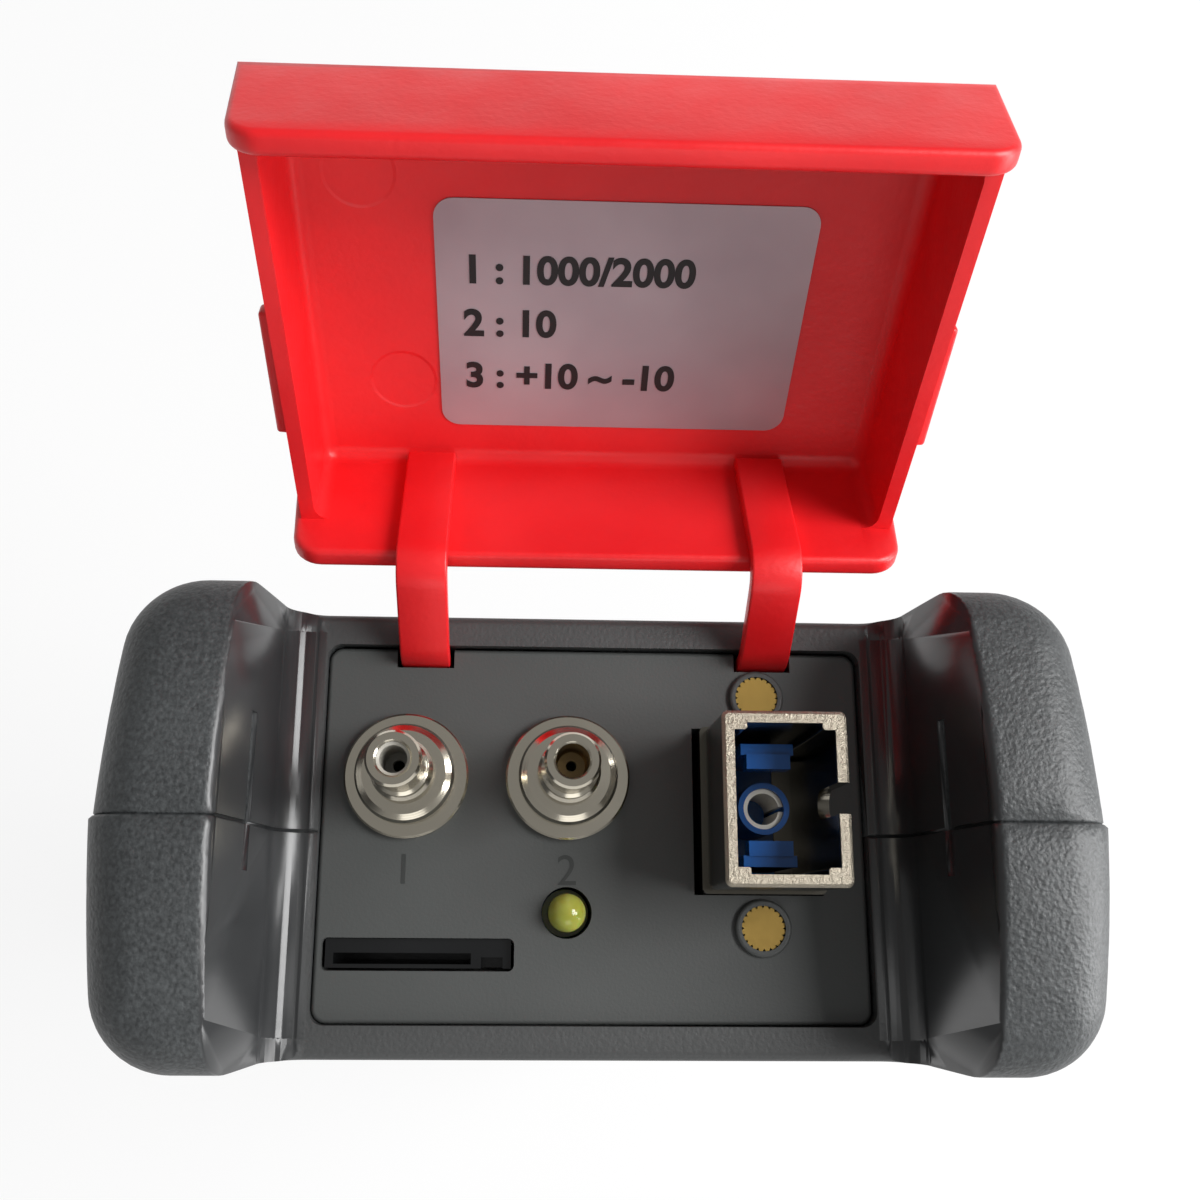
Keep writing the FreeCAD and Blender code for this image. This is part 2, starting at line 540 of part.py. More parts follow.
def knurled_insert(name, across, back):
    """A brass insert whose blind end shows in the panel; straight teeth run round it."""
    body = new_body(name)
    disc = sketch_on(body, "XY", name + "_disc", lift="D.insert_low")
    draw_circle(disc, "0", "0", "D.insert_radius")
    pad(body, disc, "D.panel_level + 0.35 - D.insert_low", name + "_pad")
    notch = sketch_on(body, "XY", name + "_notch", lift="D.panel_level + 1")
    draw_polygon(notch, [("D.insert_radius - 0.22", "0"), ("D.insert_radius + 0.2", "-0.25"), ("D.insert_radius + 0.2", "0.25")])
    groove = pocket(body, notch, "8", name + "_groove")
    ring = body.newObject("PartDesign::PolarPattern", name + "_teeth")
    ring.Originals = [groove]
    ring.Axis = ([axis for axis in body.Origin.OriginFeatures if axis.Role == "Z_Axis"][0], [""])
    ring.Occurrences = 20
    body.Tip = ring
    doc.recompute()
    bore = sketch_on(body, "XY", name + "_bore", lift="D.insert_low")
    draw_circle(bore, "0", "0", "1.0")
    pocket(body, bore, "2.6", name + "_bore_cut", flip=True)
    body.setExpression("Placement.Base.x", across)
    body.setExpression("Placement.Base.y", back)
    return body


for name, (across, back) in zip(("insert_upper", "insert_lower"), INSERT_SPOTS):
    knurled_insert(name, across, back)

# ------------------------------------------------------------------------------- square fibre adapter, port three
adapter = new_body("sc_adapter")
AX, AY = "D.adapter_across", "D.adapter_back"


def about(half_wide, half_deep):
    """Left, right, front and rear of a rectangle centred on the adapter's axis."""
    return (AX + " - " + half_wide, AX + " + " + half_wide, AY + " - " + half_deep, AY + " + " + half_deep)


tube = sketch_on(adapter, "XY", "adapter_tube", lift="D.adapter_foot")
draw_rounded(tube, *about("D.adapter_wide / 2", "D.adapter_deep / 2"), "0.5")
pad(adapter, tube, "D.adapter_top - D.adapter_foot", "adapter_tube_pad")
wing = sketch_on(adapter, "XY", "adapter_wing", lift="138.0")
draw_rounded(wing, *about("D.adapter_wide / 2", "11.6"), "1.5")
pad(adapter, wing, "1.5", "adapter_wing_pad")
skirt = sketch_on(adapter, "XY", "adapter_skirt", lift="139.5")
draw_rounded(skirt, *about("(D.adapter_wide / 2 + 0.3)", "(D.adapter_deep / 2 + 0.25)"), "0.5")
pad(adapter, skirt, "6.0", "adapter_skirt_pad")
well = sketch_on(adapter, "XY", "adapter_well", lift="D.adapter_top")
block_wide, block_deep = "0.94", "0.5"
quarter = [("D.cavity_wide / 2", "(D.cavity_deep / 2 - %s)" % block_deep),
           ("(D.cavity_wide / 2 - %s)" % block_wide, "(D.cavity_deep / 2 - %s)" % block_deep),
           ("(D.cavity_wide / 2 - %s)" % block_wide, "D.cavity_deep / 2")]
outline = [(AX + " + " + x, AY + " + " + y) for x, y in quarter]
outline += [(AX + " - " + x, AY + " + " + y) for x, y in reversed(quarter)]
outline += [(AX + " - " + x, AY + " - " + y) for x, y in quarter]
outline += [(AX + " + " + x, AY + " - " + y) for x, y in reversed(quarter)]
draw_polygon(well, outline)
pocket(adapter, well, "60", "adapter_well_cut")
block_x, block_y = size_of("D.cavity_wide / 2 - " + block_wide), size_of("D.cavity_deep / 2 - " + block_deep)
soften(adapter, "0.2", "adapter_block_corners", lambda p, b: upright(b) and near(abs(p.x - size_of(AX)), block_x)
       and near(abs(p.y - size_of(AY)), block_y))
web = sketch_on(adapter, "XY", "adapter_web", lift="137.0")
draw_rectangle(web, AX + " + 2.15", AX + " + D.cavity_wide / 2 + 0.3", AY + " - 4.7", AY + " + 4.7")
pad(adapter, web, "2.0", "adapter_web_pad")
key_slot = sketch_on(adapter, "YZ", "adapter_key", lift=AX)
draw_rounded(key_slot, AY + " - 1.14", AY + " + 1.14", "D.adapter_top - 6.5", "D.adapter_top + 3", "1.1")
pocket(adapter, key_slot, "9", "adapter_key_cut", flip=True)
screw_holes = sketch_on(adapter, "XY", "adapter_screw_holes", lift="138.0")
for across, back in INSERT_SPOTS:
    draw_circle(screw_holes, across, back, "1.0")
pocket(adapter, screw_holes, "3", "adapter_screw_holes_cut", flip=True)
lip_top = size_of("D.adapter_top")
soften(adapter, "0.25", "adapter_lip", lambda p, b: near(p.z, lip_top) and b.XLength < 8 and b.YLength < 12
       and (near(abs(p.x - size_of(AX)), 4.65) or near(abs(p.y - size_of(AY)), 6.375)), kind="Chamfer")

plate = block("latch_plate", AX + " - 3.7", AX + " + 2.1", AY + " - 4.9", AY + " + 4.9", "137.0", "139.0")
ring_out = rod("latch_ring", AX, AY, "134.0", "2.05", "12.0")
arms = []
for index, sign in enumerate(("-", "")):
    for part, left, right, inner, outer, low, high in (
            ("arm", "2.3", "1.8", sign + "3.85", sign + "4.7", "138.9", "149.2"),
            ("hook", "1.9", "1.5", sign + "2.75", sign + "3.9", "147.5", "149.4")):
        front, rear = sorted((inner, outer), key=float)
        arms.append(block("latch_%s_%d" % (part, index), AX + " - " + left, AX + " + " + right,
                          AY + " + " + front, AY + " + " + rear, low, high))
latch_solid = joined("latch_solid", "MultiFuse", [plate, ring_out] + arms)
latch_bore = rod("latch_bore", AX, AY, "130.0", "1.62", "20.0")
keep(joined("sc_latch_insert", "Cut", (latch_solid, latch_bore)), "sc_latch_insert")

sleeve_wall = joined("sleeve_tube", "Cut", (rod("sleeve_outer", AX, AY, "134.6", "1.6", "11.0"),
                                            rod("sleeve_inner", AX, AY, "134.0", "1.25", "13.0")))
sleeve_slit = block("sleeve_slit", AX + " + 0.8", AX + " + 2.0", AY + " - 0.2", AY + " + 0.2", "134.0", "146.0")
keep(joined("split_sleeve", "Cut", (sleeve_wall, sleeve_slit)), "split_sleeve")

plug_body = block("plug_body", AX + " - 3.5", AX + " + 3.5", AY + " - 4.3", AY + " + 4.3", "118.5", "133.9")
plug_neck = rod("plug_neck", AX, AY, "133.5", "1.24", "6.3")
plug_boot = doc.addObject("Part::Cone", "plug_boot")
plug_boot.Radius1 = 1.4
plug_boot.Radius2 = 2.6
plug_boot.Height = 3.6
plug_boot.setExpression("Placement.Base.x", AX)
plug_boot.setExpression("Placement.Base.y", AY)
plug_boot.Placement.Base.z = 115.0
keep(joined("pigtail_plug", "MultiFuse", [plug_body, plug_neck, plug_boot]), "pigtail_plug")

adapter_screws = []
for index, (across, back) in enumerate(INSERT_SPOTS):
    head = rod("adapter_screw_head_%d" % index, across, back, "136.7", "1.9", "1.3")
    shank = rod("adapter_screw_shank_%d" % index, across, back, "138.0", "1.0", "4.5")
    adapter_screws.append(joined("adapter_screw_%d" % index, "MultiFuse", [head, shank]))
keep(joined("adapter_screws", "Compound", adapter_screws), "adapter_screws")


# --------------------------------------------------------------------------------- the two round ferrule ports
def ferrule_port(name, across):
    """A plated turned port: flange, rounded hub, neck and rim, with a through bore for a 2.5 mm ferrule."""
    body = new_body(name)
    profile = sketch_on(body, "XZ", name + "_profile")
    steps = [("1.25", "1"), ("0.6", "0.6"), ("0.6", "-8"), ("D.port_shank", "-8"), ("D.port_shank", "0"),
             ("5.0", "0"), ("5.0", "0.75"), ("4.85", "0.9"), ("3.95", "0.95"), ("3.95", "2.3"), ("3.75", "2.8"), ("3.3", "3.05"), ("2.5", "3.1"), ("2.45", "4.7"),
             ("2.2", "5.0"), ("2.2", "5.9"), ("1.93", "6.1"), ("1.93", "9.7"), ("1.85", "9.8"), ("1.85", "9.95"),
             ("2.07", "10.15"), ("2.07", "10.95"), ("1.9", "11.2"), ("1.4", "11.2"), ("1.25", "11.05")]
    draw_polygon(profile, steps)
    turned = body.newObject("PartDesign::Revolution", name + "_turned")
    turned.Profile = profile
    turned.ReferenceAxis = ([axis for axis in body.Origin.OriginFeatures if axis.Role == "Z_Axis"][0], [""])
    turned.Angle = 360
    profile.Visibility = False
    body.setExpression("Placement.Base.x", across)
    body.setExpression("Placement.Base.y", "D.port_back")
    body.setExpression("Placement.Base.z", "D.panel_level")
    nut_hex = doc.addObject("Part::Prism", name + "_nut_hex")
    nut_hex.Polygon = 6
    nut_hex.Circumradius = 5.2
    nut_hex.Height = 2.2
    nut_hex.setExpression("Placement.Base.x", across)
    nut_hex.setExpression("Placement.Base.y", "D.port_back")
    nut_hex.setExpression("Placement.Base.z", "D.panel_under - 2.2")
    nut_hole = rod(name + "_nut_hole", across, "D.port_back", "D.panel_under - 3", "D.port_shank", "4")
    keep(joined(name + "_nut", "Cut", (nut_hex, nut_hole)), name + "_nut")


ferrule_port("port_one", "D.one_across")
ferrule_port("port_two", "D.two_across")
laser_tube = rod("laser_tube", "D.one_across", "D.port_back", "122.0", "3.6", "14.0")
laser_lead = rod("laser_lead", "D.one_across", "D.port_back", "120.4", "1.0", "2.0")
keep(joined("fault_laser", "MultiFuse", [laser_tube, laser_lead]), "fault_laser")
diode_can = rod("diode_can", "D.two_across", "D.port_back", "131.0", "2.7", "5.0")
diode_base = rod("diode_base", "D.two_across", "D.port_back", "129.8", "3.2", "1.2")
keep(joined("meter_photodiode", "MultiFuse", [diode_can, diode_base]), "meter_photodiode")

# ------------------------------------------------------------------------------------- status lamp, card socket
lamp_base = rod("lamp_base", "D.lamp_across", "D.lamp_back", "139.4", "1.9", "1.0")
lamp_stem = rod("lamp_stem", "D.lamp_across", "D.lamp_back", "140.4", "D.lamp_radius", "4.2")
lamp_dome = doc.addObject("Part::Sphere", "lamp_dome")
lamp_dome.setExpression("Radius", "D.lamp_radius")
for letter, spot in (("x", "D.lamp_across"), ("y", "D.lamp_back"), ("z", "144.6")):
    lamp_dome.setExpression("Placement.Base." + letter, spot)
lamp_legs = [block("lamp_leg_%d" % i, "D.lamp_across + %s" % start, "D.lamp_across + %s + 0.5" % start,
                   "D.board_back", "D.board_back + 0.5", "134.0", "139.5") for i, start in enumerate(("-1.5", "1.0"))]
keep(joined("status_lamp", "MultiFuse", [lamp_base, lamp_stem, lamp_dome] + lamp_legs), "status_lamp")

socket_block = block("socket_block", "D.card_left + 0.25", "D.card_right - 0.25", "D.card_front + 0.2",
                     "D.board_front", "124.0", "143.3")
socket_mouth = block("socket_mouth", "D.card_left + 0.9", "D.card_right - 3.4", "-10.45", "-9.6", "130.0", "144.0")
socket_latch = block("socket_latch", "D.card_right - 2.6", "D.card_right - 0.9", "-11.0", "-9.9", "141.0", "144.0")
socket_cuts = joined("socket_cuts", "MultiFuse", [socket_mouth, socket_latch])
keep(joined("card_socket", "Cut", (socket_block, socket_cuts)), "card_socket")

# ------------------------------------------------------------------------------------------------ dust cover
cover = new_body("dust_cover")
COVER_SLOPE = "(D.cover_roof_half - D.cover_foot_half) / D.cover_height"


def cover_section(sketch, extra, low, high):
    """The cover's trapezoid across its length, widened by extra, between two heights."""
    foot = "(D.cover_foot_half + %s + (%s) * %s)" % (extra, low, COVER_SLOPE)
    rim = "(D.cover_foot_half + %s + (%s) * %s)" % (extra, high, COVER_SLOPE)
    draw_polygon(sketch, [("-" + foot, low), (foot, low), (rim, high), ("-" + rim, high)])


outer = sketch_on(cover, "XZ", "cover_outer")
cover_section(outer, "D.ear_extra", "0", "D.cover_height")
pad(cover, outer, "D.cover_length", "cover_block")
roof, ends = size_of("D.cover_height"), (0.0, -size_of("D.cover_length"))
soften(cover, "D.cover_round", "cover_ends",
       lambda p, b: near(p.z, roof) and (near(p.y, ends[0]) or near(p.y, ends[1])))
relief = sketch_on(cover, "XZ", "cover_relief", lift="D.ear_thick")
for sign in ("-", ""):
    foot = "D.cover_foot_half - 2 * " + COVER_SLOPE
    rim = "D.cover_roof_half + 2 * " + COVER_SLOPE
    draw_polygon(relief, [(sign + "(%s)" % foot, "-2"), (sign + "(D.cover_foot_half + 6)", "-2"),
                          (sign + "(D.cover_foot_half + 6)", "D.cover_height + 2"),
                          (sign + "(%s)" % rim, "D.cover_height + 2")])
pocket(cover, relief, "D.cover_length - 2 * D.ear_thick", "cover_relief_cut", flip=True)
soften(cover, "1.5", "cover_roof_sides", lambda p, b: near(p.z, roof) and near(b.XLength, 0) and b.YLength > 10)
room = sketch_on(cover, "XZ", "cover_room", lift="D.cover_wall")
cover_section(room, "-D.cover_wall", "-0.5", "D.cover_height - D.cover_roof")
pocket(cover, room, "D.cover_length - 2 * D.cover_wall", "cover_room_cut", flip=True)
inner_roof = size_of("D.cover_height - D.cover_roof")
soften(cover, "1.4", "cover_room_ends", lambda p, b: near(p.z, inner_roof) and near(b.YLength, 0) and b.XLength > 20)
soften(cover, "1.0", "cover_room_sides", lambda p, b: near(p.z, inner_roof) and b.YLength > 20)
foot_half = size_of("D.cover_foot_half")
soften(cover, "1.0", "cover_foot_sides", lambda p, b: near(p.z, 0) and near(abs(p.x), foot_half) and b.YLength > 20)
ear_half = size_of("D.cover_foot_half + D.ear_extra")
soften(cover, "1.8", "cover_foot_ears", lambda p, b: near(p.z, 0) and near(abs(p.x), ear_half) and b.YLength > 1)
ribs = sketch_on(cover, "XZ", "cover_ribs", lift="D.rib_near")
rib_root = "(D.cover_foot_half + D.rib_level * %s)" % COVER_SLOPE
for sign in ("-", ""):
    draw_polygon(ribs, [(sign + "(%s - 0.4)" % rib_root, "D.rib_level - D.rib_tall / 2"),
                        (sign + "(%s + D.rib_stand)" % rib_root, "D.rib_level - D.rib_tall / 4"),
                        (sign + "(%s + D.rib_stand)" % rib_root, "D.rib_level + D.rib_tall / 4"),
                        (sign + "(%s - 0.4)" % rib_root, "D.rib_level + D.rib_tall / 2")])
pad(cover, ribs, "D.rib_far - D.rib_near", "cover_ribs_pad")
cover.Placement = FreeCAD.Placement(V(0, 0, 0), FreeCAD.Rotation(V(1, 0, 0), -size_of("D.cover_angle")))
cover.setExpression("Placement.Rotation.Angle", "D.cover_angle")
cover.Placement.Rotation.Axis = V(-1, 0, 0)
cover.setExpression("Placement.Base.y", "D.cover_edge_back")
cover.setExpression("Placement.Base.z", "D.cover_edge_level")


def cover_strap(name, across):
    """A flat strap moulded with the cover: up out of the panel, over, and down the cover's inner face."""
    body = new_body(name)
    strip = sketch_on(body, "YZ", name + "_side", lift="%s - D.strap_wide / 2" % across)
    half = size_of("D.strap_thick / 2")
    back, level = size_of("D.strap_back"), size_of("D.panel_level")
    path = [V(back, level - 4.0, 0), V(back, level + 0.8, 0), V(19.9, level + 7.95, 0), V(31.34, level + 1.13, 0)]
    legs = [(path[i + 1] - path[i]).normalize() for i in range(3)]
    sides = [V(-leg.y, leg.x, 0) for leg in legs]
    rails = []
    for hand in (1, -1):
        rail = [path[0] + sides[0] * (hand * half)]
        for i in (1, 2):
            bisector = (sides[i - 1] + sides[i]).normalize()
            rail.append(path[i] + bisector * (hand * half / bisector.dot(sides[i])))
        rail.append(path[3] + sides[2] * (hand * half))
        rails.append(rail)
    corners = rails[0] + list(reversed(rails[1]))
    draw_polygon(strip, [("%.4f" % p.x, "%.4f" % p.y) for p in corners])
    pad(body, strip, "D.strap_wide", name + "_pad")
    for index, radius in ((1, 4.0), (2, 2.6)):
        turn = legs[index - 1].x * legs[index].y - legs[index - 1].y * legs[index].x
        for hand, rail in zip((1, -1), rails):
            spot = rail[index]
            bend = radius - half * hand * (1 if turn > 0 else -1)
            soften(body, "%.2f" % bend, "%s_bend_%d_%s" % (name, index, "a" if hand > 0 else "b"),
                   lambda p, b, spot=spot: near(p.y, spot.x) and near(p.z, spot.y))
    return body


cover_strap("strap_left", "-D.strap_across")
cover_strap("strap_right", "D.strap_across")

# ------------------------------------------------------------------------------------- screen and main board
glass = new_body("touch_glass")
pane = sketch_on(glass, "XZ", "glass_pane", lift="D.half_depth - D.glass_seat")
draw_rounded(pane, "-D.glass_half", "D.glass_half", "D.glass_low", "D.glass_high", "3")
pad(glass, pane, "D.glass_thick", "glass_pad")
SHELL_INNER = "-(D.half_depth - D.wall)"
keep(block("display_module", "-26", "26", SHELL_INNER, "D.frame_front", "59.5", "129.8"), "display_module")
keep(block("display_frame", "-32.4", "32.4", "D.frame_front", "D.frame_back", "60", "129.6"), "display_frame")
spacers = [rod("spacer_%d" % i, across, "D.frame_back", up, "2", "D.board_front - D.frame_back", "y")
           for i, (across, up) in enumerate((("-24", "66"), ("24", "66"), ("-24", "118"), ("24", "118")))]
keep(joined("board_spacers", "Compound", spacers), "board_spacers")
board_parts = [block("board_wide", "-D.board_half", "D.board_half", "D.board_front", "D.board_back", "60", "129.5"),
               block("board_top", "-23.5", "23.5", "D.board_front", "D.board_back", "129", "136")]
for name, left, right, low, high, tall in (("shield", "-22", "0", "92", "112", "1.8"), ("chip", "6", "18", "96", "108", "1.2"),
                                           ("memory", "4", "14", "116", "124", "1.0"),
                                           ("plug_row", "-18", "-8", "116", "120", "2.2")):
    board_parts.append(block("board_" + name, left, right, "D.board_back - 0.1", "D.board_back + " + tall, low, high))
keep(joined("main_board", "MultiFuse", board_parts), "main_board")

# --------------------------------------------------------------------------------------------- keys and keypad
for name, place in KEYS.items():
    key = new_body(name)
    cap = sketch_on(key, "XZ", name + "_cap", lift="-(%s)" % SHELL_INNER + " - 0.1")
    key_outline(cap, place, "0", "2")
    pad(key, cap, "D.wall + D.key_proud + 0.1", name + "_cap_pad")
    face = -size_of("D.half_depth + D.key_proud")
    soften(key, "0.6", name + "_edge", lambda p, b, face=face: near(p.y, face))
    skirt = sketch_on(key, "XZ", name + "_skirt", lift="-(%s)" % SHELL_INNER + " - 0.1")
    key_outline(skirt, place, "D.key_skirt", "2.5")
    pad(key, skirt, "1.0", name + "_skirt_pad", flip=True)

domes = new_body("key_domes")
mat = sketch_on(domes, "XZ", "dome_mat", lift="-D.keypad_front")
draw_rounded(mat, "-28", "28", "14", "54", "2")
pad(domes, mat, "0.6", "dome_mat_pad")
bumps = sketch_on(domes, "XZ", "dome_bumps", lift="-D.keypad_front + 0.6")
for across, up, half_wide, half_tall in KEYS.values():
    draw_circle(bumps, across, up, "3")
pad(domes, bumps, "0.12", "dome_bumps_pad")

keypad = joined("keypad_solid", "MultiFuse", [
    block("keypad_wide", "-32.5", "32.5", "D.keypad_front", "D.keypad_back", "13", "56"),
    block("keypad_tongue", "-20", "20", "D.keypad_front", "D.keypad_back", "3", "14")])
keep(keypad, "keypad_board")
charge = new_body("charge_socket")
hull = sketch_on(charge, "XY", "charge_hull", lift="0.4")
draw_rounded(hull, "-4.45", "4.45", "D.keypad_back", "D.keypad_back + 3.2", "1.5")
pad(charge, hull, "7.4", "charge_hull_pad")
mouth = sketch_on(charge, "XY", "charge_mouth", lift="0.4")
draw_rounded(mouth, "-4.1", "4.1", "D.keypad_back + 0.35", "D.keypad_back + 2.85", "1.2")
pocket(charge, mouth, "6.8", "charge_mouth_cut", flip=True)
blade = sketch_on(charge, "XY", "charge_blade", lift="1.2")
draw_rectangle(blade, "-3.3", "3.3", "D.keypad_back + 1.3", "D.keypad_back + 1.9")
pad(charge, blade, "6.2", "charge_blade_pad")
buzzer_can = rod("buzzer_can", "18", "D.keypad_back", "24", "4.5", "4", "y")
buzzer_hole = rod("buzzer_hole", "18", "D.keypad_back + 3", "24", "0.8", "2", "y")
keep(joined("buzzer", "Cut", (buzzer_can, buzzer_hole)), "buzzer")

# -------------------------------------------------------------------------------------------------- battery bay
door = new_body("battery_door")
leaf = sketch_on(door, "XZ", "door_leaf", lift="-D.half_depth")
draw_rounded(leaf, "-D.door_half", "D.door_half", "D.door_low", "D.door_high", "2.85")
pad(door, leaf, "D.door_thick", "door_leaf_pad")
hole = sketch_on(door, "XZ", "door_hole", lift="-D.half_depth")
draw_circle(hole, "0", "88.6", "1.1")
pocket(door, hole, "3", "door_hole_cut", flip=True)
recess = sketch_on(door, "XZ", "door_recess", lift="-D.half_depth")
draw_circle(recess, "0", "88.6", "2.1")
pocket(door, recess, "0.6", "door_recess_cut", flip=True)
grip = sketch_on(door, "XZ", "door_grip", lift="-D.half_depth")
for step in range(4):
    draw_rounded(grip, "-7", "7", "13 + %d" % (3 * step), "14.4 + %d" % (3 * step), "0.65")
pocket(door, grip, "0.5", "door_grip_cut", flip=True)
door_head = rod("door_screw_head", "0", "D.half_depth - 0.6", "88.6", "1.9", "0.6", "y")
door_shank = rod("door_screw_shank", "0", "11", "88.6", "1.0", "D.half_depth - 11.3", "y")
keep(joined("door_screw", "MultiFuse", [door_head, door_shank]), "door_screw")
tray_outer = block("tray_outer", "-20.6", "20.6", "-5.8", "-(%s)" % SHELL_INNER, "13", "85.4")
tray_inner = block("tray_inner", "-19.4", "19.4", "-4.6", "20", "14.2", "84.2")
tray_slot = block("tray_slot", "-12", "12", "-7", "-4", "40", "58")
keep(joined("battery_tray", "Cut", (tray_outer, joined("tray_cuts", "MultiFuse", [tray_inner, tray_slot]))),
     "battery_tray")
cells = []
for index, (sign, tip_low) in enumerate((("-", "D.cell_high"), ("", "D.cell_low - 1.4"))):
    spot = sign + "D.cell_across"
    can = rod("cell_can_%d" % index, spot, "D.cell_back", "D.cell_low", "D.cell_radius", "D.cell_high - D.cell_low")
    tip = rod("cell_tip_%d" % index, spot, "D.cell_back", tip_low, "2.8", "1.4")
    cells.append(joined("cell_%d" % index, "MultiFuse", [can, tip]))
keep(joined("battery_cells", "Compound", cells), "battery_cells")
contacts = []
for index, (across, low, dimple, reach) in enumerate((
        ("-D.cell_across", "14.2", "14.7", "2.1"), ("D.cell_across", "14.2", "14.7", "0.7"),
        ("-D.cell_across", "83.7", "83.2", "0.5"), ("D.cell_across", "83.7", "81.8", "1.9"))):
    plate = block("contact_plate_%d" % index, across + " - 5", across + " + 5", "D.cell_back - 5", "D.cell_back + 5",
                  low, low + " + 0.5")
    button = rod("contact_button_%d" % index, across, "D.cell_back", dimple, "2.4", reach)
    contacts.append(joined("contact_%d" % index, "MultiFuse", [plate, button]))
keep(joined("battery_contacts", "Compound", contacts), "battery_contacts")

# ------------------------------------------------------------------------------------- optics and fibre storage
optics_can = block("optics_can", "-27", "27", "0.5", "13", "92", "114")
optics_tab = [rod("optics_port_%d" % i, across, "6.5", "113.5", "1.6", "3.5") for i, across in enumerate(("13.4", "-2.2"))]
keep(joined("optics_module", "MultiFuse", [optics_can] + optics_tab), "optics_module")
fibre_outer = block("fibre_outer", "-24", "24", "-4", "0.5", "92", "114")
fibre_inner = block("fibre_inner", "-23", "23", "-5", "-0.5", "93", "113")
fibre_hub = rod("fibre_hub", "0", "-3.4", "103", "7", "3.5", "y")
fibre_floor = joined("fibre_floor", "Cut", (fibre_outer, fibre_inner))
keep(joined("fibre_tray", "MultiFuse", [fibre_floor, fibre_hub]), "fibre_tray")
coil = doc.addObject("Part::Torus", "coil")
coil.Radius1 = 8.4
coil.Radius2 = 1.1
coil.Placement = FreeCAD.Placement(V(0, -1.6, 103), FreeCAD.Rotation(V(1, 0, 0), 90))
keep(coil, "fibre_coil")

# --------------------------------------------------------------------------------------------------- case screws
case_screws = []
for index, (sign, up) in enumerate((sign, up) for sign in ("-", "") for up in ("D.boss_low", "D.boss_high")):
    head = rod("case_head_%d" % index, sign + "D.boss_across", "D.screw_head_level", up, "D.screw_head", "1.8", "y")
    shank = rod("case_shank_%d" % index, sign + "D.boss_across", "-9", up, "D.screw_radius",
                "D.screw_head_level + 9.5", "y")
    socket = doc.addObject("Part::Prism", "case_socket_%d" % index)
    socket.Polygon = 6
    socket.Circumradius = 1.25
    socket.Height = 2
    socket.Placement = FreeCAD.Placement(V(0, 0, 0), FreeCAD.Rotation(V(1, 0, 0), -90))
    for letter, spot in (("x", sign + "D.boss_across"), ("y", "D.screw_head_level + 0.6"), ("z", up)):
        socket.setExpression("Placement.Base." + letter, spot)
    whole = joined("case_whole_%d" % index, "MultiFuse", [head, shank])
    case_screws.append(joined("case_screw_%d" % index, "Cut", (whole, socket)))
keep(joined("case_screws", "Compound", case_screws), "case_screws")

# ------------------------------------------------------------------------------------ checks, then the exports
doc.recompute()
for item in doc.Objects:
    if "Invalid" in item.State or "Error" in item.State:
        raise RuntimeError("%s is in state %s" % (item.Label, item.State))
for item in NODES:
    if item.Shape.isNull() or not item.Shape.isValid() or not item.Shape.Solids:
        raise RuntimeError("%s has no valid solid" % item.Label)
os.makedirs("parts", exist_ok=True)
for item in NODES:
    item.Shape.exportStep("parts/%s.step" % item.Label)
print("%d pieces written" % len(NODES))
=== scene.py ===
# %% [markdown]
# # A handheld fibre tester with its dust cover thrown back
# The solid model of the tester is loaded first. It is the fixed frame: every piece made here is placed in it,
# in metres, with +Z up from the base to the ports and +Y to the rear.

import math

import bmesh
import bpy
from mathutils import Matrix, Vector


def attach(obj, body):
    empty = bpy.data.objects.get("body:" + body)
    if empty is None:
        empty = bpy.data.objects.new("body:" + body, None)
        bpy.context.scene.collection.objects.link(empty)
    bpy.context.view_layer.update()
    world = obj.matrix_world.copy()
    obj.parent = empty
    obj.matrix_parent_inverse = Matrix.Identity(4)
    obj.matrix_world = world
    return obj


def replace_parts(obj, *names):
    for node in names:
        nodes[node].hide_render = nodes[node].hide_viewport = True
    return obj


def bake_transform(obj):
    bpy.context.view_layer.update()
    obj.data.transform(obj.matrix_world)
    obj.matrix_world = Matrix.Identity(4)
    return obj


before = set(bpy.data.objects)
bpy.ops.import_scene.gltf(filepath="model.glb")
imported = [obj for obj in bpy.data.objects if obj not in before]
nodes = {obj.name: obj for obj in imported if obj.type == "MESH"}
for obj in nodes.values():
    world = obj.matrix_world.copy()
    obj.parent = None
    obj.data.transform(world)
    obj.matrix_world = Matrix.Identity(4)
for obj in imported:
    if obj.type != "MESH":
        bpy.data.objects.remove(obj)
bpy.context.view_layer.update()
MM = 0.001
print("pieces in the model:", len(nodes))

# %% [markdown]
# ## Camera
# The tester is seen from above its port end, from a hand's width away, so the two bumpers fall away in strong
# perspective. A 36 mm lens on a 36 mm sensor gives that. The small shift only centres the view.

# %% camera
camera = bpy.data.objects.new("camera", bpy.data.cameras.new("camera"))
bpy.context.scene.collection.objects.link(camera)
camera.data.sensor_width = 36.0
camera.data.lens = 36.0
camera.data.shift_x = 0.0277
camera.data.shift_y = 0.0186
camera.data.clip_start = 0.01
camera.location = Vector((-5.714, -7.249, 241.712)) * MM
camera.rotation_euler = [math.radians(a) for a in (14.064, -2.0727, 0.3745)]
bpy.context.scene.camera = camera
bpy.context.scene.view_settings.view_transform = "Standard"
print("camera at", tuple(round(v, 4) for v in camera.location))

# %% [markdown]
# ## Small tools
# `colour` turns a paint-chart hex value into the linear numbers that Blender wants. `add` puts one node into
# a material with its settings and links, which keeps each finish readable as a list of nodes. `settle` ends
# every new piece: it merges doubles, turns the faces outwards and says which body the piece rides on.

# %% tools
def colour(code):
    """A hex colour as linear red, green, blue and alpha."""
    parts = [int(code[i:i + 2], 16) / 255 for i in (1, 3, 5)]
    linear = [c / 12.92 if c <= 0.04045 else ((c + 0.055) / 1.055) ** 2.4 for c in parts]
    return (*linear, 1.0)


